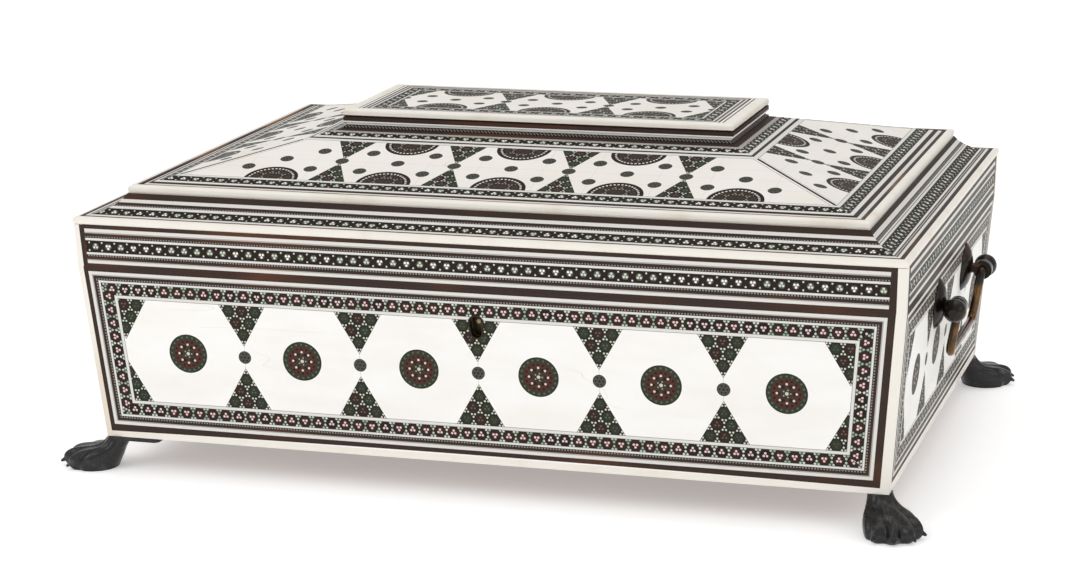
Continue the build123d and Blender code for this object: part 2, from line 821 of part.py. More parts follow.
def case_parts():
    """Nodes of the case and of what stays fixed to it."""
    parts = {f"case_{side}": wall for side, wall in case_walls().items()}
    inlays, corners, bottom = case_skin()
    parts.update({f"inlay_{side}": face for side, face in inlays.items()})
    parts["case_corner_edgings"] = corners
    parts["case_bottom_edgings"] = bottom
    parts["base_board"] = base_board()
    parts["tray_rests"] = tray_rests()
    parts["keyhole_lining"] = keyhole_lining()
    parts["lock_case"] = lock_case()
    parts["case_hinge_leaves"] = [hinge_leaf(side, False) for side in (-1, 1)]
    parts["hinge_pins"] = hinge_pins()
    return parts


def foot_parts():
    """Nodes of the four feet."""
    cast = paw()
    return {f"paw_foot_{name}": foot_frame(name) * cast for name in foot_places()}


def handle_parts():
    """Nodes of both handles."""
    spread = (-handle_spread, handle_spread)
    plates = [handle_plate(y) for y in spread]
    posts = [handle_post(y) for y in spread]
    nuts = [handle_nut(y) for y in spread]
    return {
        "handle_plates_right": plates,
        "handle_plates_left": [mirrored(p) for p in plates],
        "handle_posts_right": posts,
        "handle_posts_left": [mirrored(p) for p in posts],
        "handle_nuts": nuts + [mirrored(n) for n in nuts],
        "bail_right": bail(),
        "bail_left": mirrored(bail()),
    }


def lid_parts():
    """Nodes of the lid."""
    rails, corners = lid_rails()
    parts = {f"lid_rail_{side}": rail for side, rail in rails.items()}
    parts["lid_corner_edgings"] = corners
    lower = strip_section(0, nosing_z, nosing_width, nosing_height, nosing_round)
    parts["lower_nosing"] = list(mitred_ring(lower, lid_half, cove_half).values())
    coves = mitred_ring(cove_section, lid_half, cove_half)
    parts.update({f"cove_{side}": cove for side, cove in coves.items()})
    upper = strip_section(cove_run_front, upper_nosing_z, upper_nosing_width,
                          upper_nosing_height, upper_nosing_round)
    parts["upper_nosing"] = list(mitred_ring(upper, lid_half, cove_half).values())
    roofs = mitred_ring(roof_section, cove_half, plinth_half)
    parts.update({f"roof_{side}": roof for side, roof in roofs.items()})
    inner = square_corner(plinth_half, plinth_width)
    parts["plinth_frame"] = list(mitred_ring(plinth_section, plinth_half, inner).values())
    rim = strip_section(0, rim_z, rim_width, rim_height, rim_round)
    parts["top_rim"] = list(mitred_ring(rim, plinth_half, inner).values())
    parts["top_panel"] = top_panel()
    parts["link_plate"] = link_plate()
    parts["lid_hinge_leaves"] = [hinge_leaf(side, True) for side in (-1, 1)]
    return parts


def tray_parts():
    """Nodes of the lift-out tray."""
    longs, shorts = tray_sides()
    return {"tray_long_sides": longs, "tray_short_sides": shorts, "tray_bottom": tray_bottom(),
            "tray_divider": tray_divider(), "tray_cross_dividers": tray_cross_dividers()}


def write(node, shape):
    """Writes one node, gathering separate solids where it has several."""
    solids = []
    for piece in shape if isinstance(shape, list) else [shape]:
        solids += list(piece.solids())
    whole = Compound(children=solids) if len(solids) > 1 else solids[0]
    export_step(whole, f"parts/{node}.step")


def main():
    os.makedirs("parts", exist_ok=True)
    parts = {**case_parts(), **foot_parts(), **handle_parts(), **lid_parts(), **tray_parts()}
    parts["lock_bolt"] = lock_bolt()
    for node, shape in parts.items():
        write(node, shape)


main()
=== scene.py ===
"""Dressing table box in mosaic inlay and bone, dressed over its packed construction.

Lengths in the finishes are millimetres. The studio's lengths are metres.
"""

import json
import logging
import math
from dataclasses import dataclass, replace
from enum import Enum
from typing import Callable, ClassVar, Optional, Union

import bpy
from mathutils import Matrix, Vector

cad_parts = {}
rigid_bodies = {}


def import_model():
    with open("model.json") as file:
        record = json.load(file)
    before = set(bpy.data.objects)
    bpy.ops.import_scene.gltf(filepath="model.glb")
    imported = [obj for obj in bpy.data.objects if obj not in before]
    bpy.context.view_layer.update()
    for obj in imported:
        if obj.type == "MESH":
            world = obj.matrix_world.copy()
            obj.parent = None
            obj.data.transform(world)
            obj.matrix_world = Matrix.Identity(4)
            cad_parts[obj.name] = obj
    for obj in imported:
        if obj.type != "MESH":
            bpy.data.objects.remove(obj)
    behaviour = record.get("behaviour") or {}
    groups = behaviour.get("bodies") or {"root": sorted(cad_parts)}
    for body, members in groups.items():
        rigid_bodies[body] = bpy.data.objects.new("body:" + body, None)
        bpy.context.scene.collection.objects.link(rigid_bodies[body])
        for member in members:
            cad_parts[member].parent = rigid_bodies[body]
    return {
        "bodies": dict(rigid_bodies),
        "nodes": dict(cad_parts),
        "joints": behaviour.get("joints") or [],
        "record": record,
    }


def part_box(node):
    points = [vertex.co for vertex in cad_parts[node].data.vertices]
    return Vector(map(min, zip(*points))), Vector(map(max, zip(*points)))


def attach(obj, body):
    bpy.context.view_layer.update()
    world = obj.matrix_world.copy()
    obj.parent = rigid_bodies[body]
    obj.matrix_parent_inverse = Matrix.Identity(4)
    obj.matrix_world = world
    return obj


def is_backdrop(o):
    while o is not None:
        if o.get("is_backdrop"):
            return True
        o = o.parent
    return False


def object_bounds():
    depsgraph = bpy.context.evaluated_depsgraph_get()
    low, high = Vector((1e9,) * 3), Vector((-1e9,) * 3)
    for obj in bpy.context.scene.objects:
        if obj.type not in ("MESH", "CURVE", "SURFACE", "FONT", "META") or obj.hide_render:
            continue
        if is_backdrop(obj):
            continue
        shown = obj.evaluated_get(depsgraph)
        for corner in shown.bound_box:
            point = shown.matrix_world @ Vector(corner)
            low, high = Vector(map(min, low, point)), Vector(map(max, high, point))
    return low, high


LOG = logging.getLogger("dressing_table_box")
MM = 0.001
ROOT3 = math.sqrt(3.0)
FULL_TURN = 2.0 * math.pi

Number = Union[float, "Term"]
Point = tuple[float, float, float]
Span = tuple[float, float]
Socket = bpy.types.NodeSocket
Material = bpy.types.Material
Colour = Union["Tint", Socket]


@dataclass(frozen=True)
class Tint:
    """Colour as it looks on a screen, each channel from 0 to 255."""

    red: float
    green: float
    blue: float

    def linear(self) -> tuple[float, float, float, float]:
        """Colour in the linear values that shaders use."""
        channels = [c / 255.0 for c in (self.red, self.green, self.blue)]
        straight = [c / 12.92 if c <= 0.04045 else ((c + 0.055) / 1.055) ** 2.4 for c in channels]
        return straight[0], straight[1], straight[2], 1.0


BONE = Tint(246, 244, 241)
BONE_SHADE = Tint(240, 237, 231)
BONE_STAIN = Tint(208, 192, 170)
EDGE_BONE = Tint(238, 233, 224)
EDGE_SHADE = Tint(225, 214, 198)
LINE_BONE = Tint(221, 218, 213)
DARK_WOOD = Tint(62, 51, 46)
RED_WOOD = Tint(92, 60, 46)
# Brown of the thin band where the roof meets the upper nosing.
ROOF_FOOT_BROWN = Tint(138, 102, 80)
INK = Tint(46, 43, 40)
GREY_LINE = Tint(206, 201, 192)
GREY_BONE = Tint(172, 167, 161)
TICK_GREY = Tint(142, 136, 128)
MAROON = Tint(64, 43, 41)
MAROON_DEEP = Tint(48, 38, 36)
MOSS = Tint(56, 60, 48)
MOSS_DEEP = Tint(42, 45, 39)
ROSE_DOT = Tint(226, 202, 196)
PALE_DOT = Tint(212, 214, 200)
GREEN_DOT = Tint(148, 170, 150)
GREEN_DIM = Tint(88, 100, 84)
ROSETTE_RIM = Tint(56, 62, 50)
ROSETTE_FIELD = Tint(82, 53, 47)
DOT_GREY = Tint(80, 80, 72)
PLAIN_WOOD = Tint(122, 82, 52)
PLAIN_WOOD_DARK = Tint(84, 52, 32)
FLOOR_PALE = Tint(250, 250, 250)
FLOOR_SHADE = Tint(248, 248, 248)
WHITE = (1.0, 1.0, 1.0, 1.0)
# Share of stain in the lid's bone: partly its yellowing, partly painted shade that keeps the
# sloping boards and the top darker than the case.
LID_BONE_YELLOWING_AND_SHADE = 0.22


def applying(operation: str) -> Callable[["Term", Number], "Term"]:
    """Makes the method that applies one operation of the Math node to two numbers."""
    def apply(self: "Term", other: Number) -> "Term":
        """Applies the operation to this number and another."""
        return self.math(operation, other)
    return apply


class Term:
    """A number that varies over a surface. Arithmetic on it adds Math nodes.

    A comparison gives a mask, 1 where it holds. Of two masks, * and & keep both and | either.
    """

    def __init__(self, bench: "Bench", socket: Socket) -> None:
        """Wraps an output socket of a node on the bench."""
        self.bench = bench
        self.socket = socket

    def math(self, operation: str, *others: Number) -> "Term":
        """Applies one operation of the Math node.

        Args:
            operation: Name of the operation.
            others: Further operands.

        Returns:
            The result.
        """
        inputs = {i: value for i, value in enumerate((self, *others))}
        node = self.bench.node("ShaderNodeMath", {"operation": operation}, inputs)
        return Term(self.bench, node.outputs[0])

    __add__ = __radd__ = applying("ADD")
    __sub__ = applying("SUBTRACT")
    __mul__ = __rmul__ = applying("MULTIPLY")
    __truediv__ = applying("DIVIDE")
    __or__ = applying("MAXIMUM")
    __and__ = applying("MINIMUM")
    __lt__ = applying("LESS_THAN")
    __gt__ = applying("GREATER_THAN")

    def __rsub__(self, other: Number) -> "Term":
        """Difference from a plain number."""
        node = self.bench.node("ShaderNodeMath", {"operation": "SUBTRACT"}, {0: other, 1: self})
        return Term(self.bench, node.outputs[0])

    def __neg__(self) -> "Term":
        """Opposite."""
        return self.math("MULTIPLY", -1.0)

    def __abs__(self) -> "Term":
        """Size without sign."""
        return self.math("ABSOLUTE")

    def wrap(self, period: float) -> "Term":
        """Repeats this number about zero, from minus to plus half a period."""
        return self.math("WRAP", period / 2.0, -period / 2.0)

    def root(self) -> "Term":
        """Square root."""
        return self.math("SQRT")

    def between(self, low: Number, high: Number) -> "Term":
        """Mask that is 1 from low to high."""
        return (self > low) * (self < high)

    def pick(self, yes: Number, no: Number) -> "Term":
        """Takes yes where this mask is 1 and no where it is 0."""
        return (1.0 - self) * no + self * yes


def squared(x: Term, y: Term) -> Term:
    """Square of the distance of (x, y) from zero."""
    return x * x + y * y


def length(x: Term, y: Term) -> Term:
    """Distance of (x, y) from zero."""
    return squared(x, y).root()


@dataclass(frozen=True)
class Grain:
    """Random figure that follows the box, and how far it shows between two of its levels."""

    scale: float
    detail: float
    low: float = 0.0
    high: float = 1.0
    strength: float = 1.0
    stretch: Point = (1.0, 1.0, 1.0)


class Bench:
    """Node tree of one material, or of the world, and the ways to add to it."""

    def __init__(self, name: str, world: Optional[bpy.types.World] = None) -> None:
        """Starts with an empty node tree.

        Args:
            name: Name of the new material.
            world: World whose tree is built, where it isn't a material's.
        """
        self.owner = world or bpy.data.materials.new(name)
        self.owner.use_nodes = True
        self.tree = self.owner.node_tree
        self.tree.nodes.clear()
        self._coordinates: Optional[bpy.types.Node] = None

    def node(self, kind: str, settings: dict, inputs: dict) -> bpy.types.Node:
        """Adds a node.

        Args:
            kind: Type of the node.
            settings: Its own settings, set first.
            inputs: Values or links of its sockets, by number or name.

        Returns:
            The node.
        """
        node = self.tree.nodes.new(kind)
        for key, value in settings.items():
            setattr(node, key, value)
        for key, value in inputs.items():
            value = value.socket if isinstance(value, Term) else value
            if isinstance(value, Socket):
                self.tree.links.new(value, node.inputs[key])
            else:
                plain = value.linear() if isinstance(value, Tint) else value
                node.inputs[key].default_value = plain
        return node

    def _own(self, output: str) -> Socket:
        """One of the object's own coordinates, whose node is made once."""
        if self._coordinates is None:
            self._coordinates = self.node("ShaderNodeTexCoord", {}, {})
        return self._coordinates.outputs[output]

    def _parts(self, vector: Socket) -> tuple[Term, Term, Term]:
        """The three parts of a vector."""
        x, y, z = self.node("ShaderNodeSeparateXYZ", {}, {0: vector}).outputs
        return Term(self, x), Term(self, y), Term(self, z)

    def place(self) -> tuple[Term, Term, Term]:
        """Place on the box at rest, in millimetres."""
        scaled = self.node("ShaderNodeVectorMath", {"operation": "SCALE"},
                           {0: self._own("Object"), "Scale": 1.0 / MM})
        return self._parts(scaled.outputs[0])

    def facing(self) -> tuple[Term, Term, Term]:
        """Direction that the surface faces at rest."""
        return self._parts(self._own("Normal"))

    def read(self, grain: Grain) -> Term:
        """Smooth random number from 0 to 1 in the figure of a grain."""
        stretched = self.node("ShaderNodeVectorMath", {"operation": "MULTIPLY"},
                              {0: self._own("Object"), 1: grain.stretch})
        node = self.node("ShaderNodeTexNoise", {"noise_dimensions": "3D"},
                         {"Vector": stretched.outputs[0], "Scale": grain.scale,
                          "Detail": grain.detail})
        return Term(self, node.outputs[0])

    def dice(self, x: Number, y: Number) -> Term:
        """Random number from 0 to 1 for each pair of whole steps."""
        pair = self.node("ShaderNodeCombineXYZ", {}, {0: x, 1: y, 2: 0.0})
        node = self.node("ShaderNodeTexWhiteNoise", {"noise_dimensions": "2D"},
                         {"Vector": pair.outputs[0]})
        return Term(self, node.outputs[0])

    def smooth(self, value: Term, low: float, high: float) -> Term:
        """Eases from 0 to 1 as value goes from low to high."""
        node = self.node("ShaderNodeMapRange", {"interpolation_type": "SMOOTHSTEP"},
                         {0: value, 1: low, 2: high, 3: 0.0, 4: 1.0})
        return Term(self, node.outputs[0])

    def mix(self, mask: Number, under: Colour, over: Colour) -> Socket:
        """Lays the second colour over the first where the mask is 1."""
        node = self.node("ShaderNodeMix", {"data_type": "RGBA"}, {0: mask, 6: under, 7: over})
        return node.outputs[2]

    def figured(self, grain: Grain, under: Colour, over: Colour) -> tuple[Socket, Term]:
        """Lays one colour over another in the figure of a grain.

        Args:
            grain: The figure and how far it shows.
            under: Lower colour.
            over: Upper colour.

        Returns:
            The mixed colour, and the figure itself.
        """
        figure = self.read(grain)
        mask = self.smooth(figure, grain.low, grain.high)
        if grain.strength < 1.0:
            mask = mask * grain.strength
        return self.mix(mask, under, over), figure

    def finish(self, colour: Colour, roughness: Number, constants: dict,
               height: Optional[Term] = None, relief: float = 0.0,
               metallic: Number = 0.0) -> Material:
        """Adds the shader and its output.

        Args:
            colour: Base colour.
            roughness: How dull the surface is.
            constants: Further sockets with plain numbers.
            height: Relief of the surface from 0 to 1.
            relief: Depth of that relief in millimetres.
            metallic: Share of bare metal.

        Returns:
            The material.
        """
        inputs = {"Base Color": colour, "Roughness": roughness, "Metallic": metallic, **constants}
        if height is not None:
            bump = self.node("ShaderNodeBump", {}, {"Height": height, "Strength": 1.0,
                                                    "Distance": relief * MM})
            inputs["Normal"] = bump.outputs[0]
        shader = self.node("ShaderNodeBsdfPrincipled", {}, inputs)
        self.node("ShaderNodeOutputMaterial", {}, {0: shader.outputs[0]})
        return self.owner


class Side(Enum):
    """Side of the box, with the signs that turn x and y into along and outwards."""

    FRONT = "front"
    BACK = "back"
    LEFT = "left"
    RIGHT = "right"

    @property
    def is_end(self) -> bool:
        """Whether the side is one of the two short ends."""
        return self in (Side.LEFT, Side.RIGHT)

    def along(self, x: Term, y: Term) -> Term:
        """Coordinate that runs along the side."""
        return y if self.is_end else x

    def outward(self, x: Term, y: Term) -> Term:
        """Coordinate that grows outwards through the side."""
        across = x if self.is_end else y
        return across if self in (Side.BACK, Side.RIGHT) else -across


@dataclass(frozen=True)
class BoxShape:
    """Heights and plan sizes of the box, read from the frame, in millimetres."""

    bottom: float
    seam: float
    edging_top: float
    lean: float
    seam_half: Span
    rail_top: float
    lid_half: Span
    upper_nosing: Span
    roof_foot: Span
    roof_top: Span
    roof_low_z: float
    roof_high_z: float
    panel_half: Span
    plinth_high: float
    cove_low_z: float
    cove_high_z: float

    @classmethod
    def from_frame(cls) -> "BoxShape":
        """Reads the sizes from the nodes of the frame."""
        def corner(node: str) -> Point:
            """Upper corner of a node's box."""
            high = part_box(node)[1] / MM
            return high.x, high.y, high.z

        def low_z(node: str) -> float:
            """Height of a node's lowest point."""
            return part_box(node)[0].z / MM

        seam_x, seam_y, seam = corner("case_corner_edgings")
        edge_x, _, edge_z = corner("case_bottom_edgings")
        lid_x, lid_y, lid_z = corner("lower_nosing")
        nosing_x, nosing_y, nosing_z = corner("upper_nosing")
        return cls(
            bottom=low_z("case_corner_edgings"), seam=seam, edging_top=edge_z,
            lean=(seam_x - edge_x) / (seam - edge_z), seam_half=(seam_x, seam_y),
            rail_top=corner("lid_rail_front")[2], lid_half=(lid_x, lid_y),
            upper_nosing=(nosing_x, nosing_y),
            roof_foot=(corner("roof_right")[0], corner("roof_back")[1]),
            roof_top=corner("top_rim")[:2], roof_low_z=nosing_z,
            roof_high_z=low_z("plinth_frame"), panel_half=corner("top_panel")[:2],
            plinth_high=low_z("top_rim"), cove_low_z=lid_z, cove_high_z=low_z("upper_nosing"))

    def half_along(self, side: Side, z: Term) -> Term:
        """Half length of a case side at a height."""
        seam_half = self.seam_half[1] if side.is_end else self.seam_half[0]
        return (z - self.seam) * self.lean + seam_half


class Tone(Enum):
    """What a band of the line work is made of."""

    BONE = "bone"
    GREY = "grey"
    DARK = "dark"
    BROWN = "brown"
    DASHED = "dashed"
    MOSAIC = "mosaic"


@dataclass(frozen=True)
class Band:
    """One band of the line work."""

    width: float
    tone: Tone


Bands = tuple[Band, ...]


def row(words: str) -> Bands:
    """Bands from a list of tones, each with its width."""
    pairs = (part.split() for part in words.split(", "))
    return tuple(Band(float(width), Tone(tone)) for tone, width in pairs)


CASE_BANDS = row("dark 2.4, bone 1.6, grey 0.6, dark 1.3, dashed 1.2, bone 1.2, mosaic 6.3, "
                 "bone 1.7")
RAIL_BANDS = row("dark 1.9, bone 1.7, grey 0.7, dark 1.4, dashed 1.1, bone 1.3, mosaic 6.1, "
                 "bone 1.2, dashed 1.4, dark 1.2, grey 0.6, bone 1.5, dark 1.9")
COVE_BANDS = row("dark 0.4, bone 2.4, mosaic 6.5, bone 1.9, dashed 1.3, dark 1.3, bone 2.1, "
                 "dark 3.5")
COVE_END_BANDS = row("dark 0.8, bone 1.4, dark 0.6, grey 0.6, dark 0.6, bone 1.1, mosaic 6.0, "
                     "bone 1.2, dark 0.3, bone 0.7, dashed 1.7, bone 2.1, dark 2.3")
ROOF_FOOT_BANDS = row("brown 0.5, bone 1.9, dark 2.3, bone 2.2, mosaic 6.1, bone 2.0")
ROOF_HEAD_BANDS = row("dark 3.6, grey 2.2, mosaic 4.8, bone 2.3, dark 1.6, bone 2.6")
TOP_BANDS = row("dark 1.2, bone 1.0, dashed 1.4, bone 1.2, mosaic 6.0, bone 1.2")


def total(bands: Bands) -> float:
    """Width of several bands together."""
    return sum(band.width for band in bands)


def mosaic_span(bands: Bands) -> Span:
    """Distances from the first edge to both edges of the mosaic band."""
    place = next(i for i, band in enumerate(bands) if band.tone is Tone.MOSAIC)
    return total(bands[:place]), total(bands[:place + 1])


def mosaic_middle(bands: Bands) -> float:
    """Distance from the first edge to the middle of the mosaic band."""
    return sum(mosaic_span(bands)) / 2.0


@dataclass(frozen=True)
class Specks:
    """Three small pieces round a middle, in either of two colours."""

    tint: Tint
    other: Tint
    reach: float
    radius: float


@dataclass(frozen=True)
class MosaicStyle:
    """Size and colours of the small pieces of a mosaic."""

    pitch: float
    rim: Tint
    core: Tint
    core_deep: Tint
    core_reach: float
    gap: Tint
    triad: Specks
    gap_specks: Specks


BORDER_STYLE = MosaicStyle(
    pitch=7.25, rim=INK, core=MAROON, core_deep=MAROON_DEEP, core_reach=2.35, gap=DOT_GREY,
    triad=Specks(ROSE_DOT, ROSE_DOT, reach=0.94, radius=0.62),
    gap_specks=Specks(PALE_DOT, GREEN_DOT, reach=1.04, radius=0.6))
FIELD_STYLE = MosaicStyle(
    pitch=7.2, rim=MOSS_DEEP, core=MOSS, core_deep=MAROON, core_reach=2.4, gap=MOSS,
    triad=Specks(DOT_GREY, GREEN_DIM, reach=1.0, radius=0.48),
    gap_specks=Specks(PALE_DOT, GREY_LINE, reach=0.97, radius=0.5))
LID_STYLE = MosaicStyle(
    pitch=7.0, rim=MAROON_DEEP, core=GREEN_DIM, core_deep=DOT_GREY, core_reach=1.7, gap=INK,
    triad=Specks(PALE_DOT, BONE_SHADE, reach=0.88, radius=0.62),
    gap_specks=Specks(PALE_DOT, PALE_DOT, reach=0.0, radius=0.46))


@dataclass(frozen=True)
class Disc:
    """Round piece of a rosette, or a flat ring where it has a hole."""

    radius: float
    hole: float = 0.0

    def mask(self, _x: Term, _y: Term, distance: Term) -> Term:
        """Where the piece lies, by the distance from its middle."""
        return distance.between(self.hole, self.radius) if self.hole else distance < self.radius


@dataclass(frozen=True)
class DotRing:
    """Dots spaced round a circle, the first on the x axis, or on the y axis if turned."""

    count: int
    reach: float
    radius: float
    turned: bool = False

    def mask(self, x: Term, y: Term, distance: Term) -> Term:
        """Where the dots lie.

        Args:
            x: Place from the circle's middle.
            y: Place from the circle's middle, the other way.
            distance: Distance from the middle.

        Returns:
            The mask.
        """
        side, ahead = (x, y) if self.turned else (y, x)
        turn = side.math("ARCTAN2", ahead).wrap(FULL_TURN / self.count)
        return squared(turn * distance, distance - self.reach) < self.radius ** 2


ROSETTE = ((Disc(10.4), INK), (Disc(10.0), ROSETTE_RIM), (DotRing(20, 8.9, 0.55), GREEN_DIM),
           (Disc(7.8), ROSETTE_FIELD), (DotRing(16, 6.6, 0.6), MAROON_DEEP),
           (DotRing(6, 4.0, 1.0), MOSS_DEEP), (DotRing(8, 4.9, 0.6, turned=True), PALE_DOT),
           (Disc(2.6, hole=1.4), MOSS), (DotRing(5, 1.9, 0.4), GREEN_DOT), (Disc(0.9), GREY_LINE))

BONE_STREAKS = Grain(scale=24.0, detail=3.0, low=0.3, high=0.8, stretch=(1.0, 1.0, 3.0))
BONE_STAINS = Grain(scale=21.0, detail=5.0, low=0.68, high=0.84, strength=0.3)
BONE_VEIN = Grain(scale=30.0, detail=2.0, stretch=(0.2, 0.2, 1.4))
CRACKED_PLACES = Grain(scale=14.0, detail=1.0)
BAND_WEAR = Grain(scale=14.0, detail=4.0, low=0.5, high=0.74, stretch=(1.0, 1.0, 2.0))
PLAIN_GRAIN = Grain(scale=24.0, detail=5.0, low=0.3, high=0.7, stretch=(1.0, 1.0, 14.0))
SCUFFS = Grain(scale=60.0, detail=4.0)
EDGE_STREAKS = Grain(scale=42.0, detail=4.0, low=0.46, high=0.84, stretch=(1.0, 1.0, 0.35))
EDGE_STAINS = Grain(scale=55.0, detail=5.0, low=0.64, high=0.82, strength=0.35,
                    stretch=(0.4, 0.4, 0.4))
NOSING_MOTTLE = Grain(scale=12.0, detail=3.0, low=0.45, high=0.6)
METAL_RUB = Grain(scale=90.0, detail=5.0)
METAL_PITS = Grain(scale=480.0, detail=3.0)
WOOD_GRAIN = Grain(scale=26.0, detail=6.0, low=0.32, high=0.68, stretch=(1.0, 9.0, 9.0))
WOOD_PORES = Grain(scale=24.0, detail=2.0, low=0.62, high=0.7, strength=0.5,
                   stretch=(3.0, 60.0, 60.0))
FLOOR_MOTTLE = Grain(scale=1.5, detail=1.0)


class Marquetry:
    """Draws the parts of the inlay on one material."""

    saw_line: float = 0.1
    deep_core: float = 0.66
    upright_triad: float = 0.4
    other_triad: float = 0.5
    first_gap: float = 0.45
    fan_dots: int = 38
    fan_dots_inset: float = 2.5
    fan_dot: float = 0.62
    fan_rim: float = 4.0
    fan_shade: float = 0.55
    spot_rim: float = 0.35
    spot_dots: int = 6
    spot_dots_share: float = 0.58
    spot_dot: float = 0.5
    spot_middle: float = 0.6
    crack_half: float = 0.0007
    crack_level: float = 0.6
    crack_strength: float = 0.3
    tick_pitch: float = 1.5
    tick_half: float = 0.42
    tick_insets: Span = (0.12, 0.38)
    line_half: float = 0.14
    line_strength: float = 0.7

    def __init__(self, bench: Bench) -> None:
        """Sets the pattern up on a material's node tree."""
        self.bench = bench

    def mosaic(self, u: Term, v: Term, style: MosaicStyle) -> Socket:
        """Hexagons that meet at their points, with triangles between them.

        Args:
            u: Place along a row, where a hexagon is centred on zero.
            v: Place across the rows.
            style: Size and colours of the pieces.

        Returns:
            The colour.
        """
        pitch = style.pitch
        radius, rise = pitch / 2.0, pitch * ROOT3
        first_x, first_y = u.wrap(pitch), v.wrap(rise)
        second_x, second_y = (u + radius).wrap(pitch), (v + rise / 2.0).wrap(rise)
        nearer = squared(first_x, first_y) < squared(second_x, second_y)
        x, y = nearer.pick(first_x, second_x), nearer.pick(first_y, second_y)
        wide, tall = abs(x), abs(y)
        reach = (wide * (ROOT3 / 2.0) + tall * 0.5) | tall
        inside = reach < radius * ROOT3 / 2.0 - self.saw_line
        luck = self.bench.dice(((u - x) / radius).math("ROUND"), ((v - y) / radius).math("ROUND"))
        mix, triad, specks = self.bench.mix, style.triad, style.gap_specks
        core = mix(luck > self.deep_core, style.core, style.core_deep)
        body = mix(reach < style.core_reach, style.rim, core)
        flip = (luck > self.upright_triad).pick(1.0, -1.0)
        triad_tint = mix(luck > self.other_triad, triad.tint, triad.other)
        body = mix(self._triad(x, y * flip, triad), body, triad_tint)
        gap_dot = mix(luck < self.first_gap, specks.tint, specks.other)
        gap = mix(self._gap_dots(wide, tall, pitch, specks), style.gap, gap_dot)
        return mix(inside, gap, body)

    def _triad(self, x: Term, y: Term, specks: Specks) -> Term:
        """Mask of three small pieces round the middle of a hexagon.

        Args:
            x: Place from the hexagon's middle, along the row.
            y: Place across the row.
            specks: Size of the pieces.

        Returns:
            The mask.
        """
        reach = specks.reach
        side_x, side_y = abs(x) - reach * ROOT3 / 2.0, y + reach / 2.0
        nearest = squared(x, y - reach) & squared(side_x, side_y)
        return nearest < specks.radius ** 2

    def _gap_dots(self, wide: Term, tall: Term, pitch: float, specks: Specks) -> Term:
        """Mask of the small pieces in the triangles between the hexagons.

        Args:
            wide: Distance from the nearest hexagon's middle, along the row.
            tall: Distance across the row.
            pitch: Distance between hexagons in a row.
            specks: Size of the pieces.

        Returns:
            The mask.
        """
        half, slant = 0.5, ROOT3 / 2.0
        above = tall > wide * ROOT3
        folded_x = above.pick(tall * slant - wide * half, wide)
        folded_y = above.pick(wide * slant + tall * half, tall)
        forward = folded_x * slant + folded_y * half
        aside = abs(folded_y * slant - folded_x * half)
        ahead = forward - (pitch / ROOT3 - specks.reach / 2.0)
        return squared(ahead, aside - specks.reach * slant) < specks.radius ** 2

    def rosette(self, under: Socket, x: Term, y: Term) -> Socket:
        """Round rosette with a green rim, a red-brown field and white points.

        Args:
            under: Colour that it is laid on.
            x: Place from its middle.
            y: Place from its middle, the other way.

        Returns:
            The colour.
        """
        colour, distance = under, length(x, y)
        for part, tint in ROSETTE:
            colour = self.bench.mix(part.mask(x, y, distance), colour, tint)
        return colour

    def fan(self, under: Socket, x: Term, y: Term, radius: float,
            filling: Socket, where: Term) -> Socket:
        """Half rosette that rises from the edge of a field.

        Args:
            under: Colour that it is laid on.
            x: Place from its middle, along the edge.
            y: Place from the edge.
            radius: Its outer radius.
            filling: Fine mosaic that shows faintly in it.
            where: Mask of the places that may carry it.

        Returns:
            The colour.
        """
        mix, distance = self.bench.mix, length(x, y)
        dots = DotRing(self.fan_dots, radius - self.fan_dots_inset, self.fan_dot)
        colour = mix((distance < radius) * where, under, MAROON_DEEP)
        colour = mix(dots.mask(x, y, distance) * where, colour, PALE_DOT)
        inner = mix(self.fan_shade, filling, MAROON)
        return mix((distance < radius - self.fan_rim) * where, colour, inner)

    def spot(self, under: Socket, x: Term, y: Term, radius: float) -> Socket:
        """Small dark round inlay.

        Args:
            under: Colour that it is laid on.
            x: Place from its middle.
            y: Place from its middle, the other way.
            radius: Its radius.

        Returns:
            The colour.
        """
        mix, distance = self.bench.mix, length(x, y)
        dots = DotRing(self.spot_dots, radius * self.spot_dots_share, self.spot_dot)
        colour = mix(distance < radius, under, MOSS_DEEP)
        colour = mix(distance < radius - self.spot_rim, colour, DOT_GREY)
        flecks = dots.mask(x, y, distance) | (distance < self.spot_middle)
        return mix(flecks, colour, MOSS_DEEP)

    def bone(self, yellowing_and_shade: float = 0.0) -> tuple[Socket, Term]:
        """Polished bone with faint streaks, a few stains and fine cracks.

        Args:
            yellowing_and_shade: Share of stain mixed in, from 0 to 1: how far it has yellowed, and
                partly painted shade.

        Returns:
            The colour, and the mask of the cracks.
        """
        bench = self.bench
        colour, _ = bench.figured(BONE_STREAKS, BONE, BONE_SHADE)
        # The stain mixed in here is partly yellowing and partly painted shade.
        colour = bench.mix(yellowing_and_shade, colour, BONE_STAIN)
        colour, _ = bench.figured(BONE_STAINS, colour, BONE_STAIN)
        cracks = ((abs(bench.read(BONE_VEIN) - 0.5) < self.crack_half)
                  * (bench.read(CRACKED_PLACES) > self.crack_level))
        return bench.mix(cracks * self.crack_strength, colour, BONE_STAIN), cracks

    def dark_wood(self) -> Socket:
        """Dark polished wood of the bands, worn to red-brown in places."""
        return self.bench.figured(BAND_WEAR, DARK_WOOD, RED_WOOD)[0]

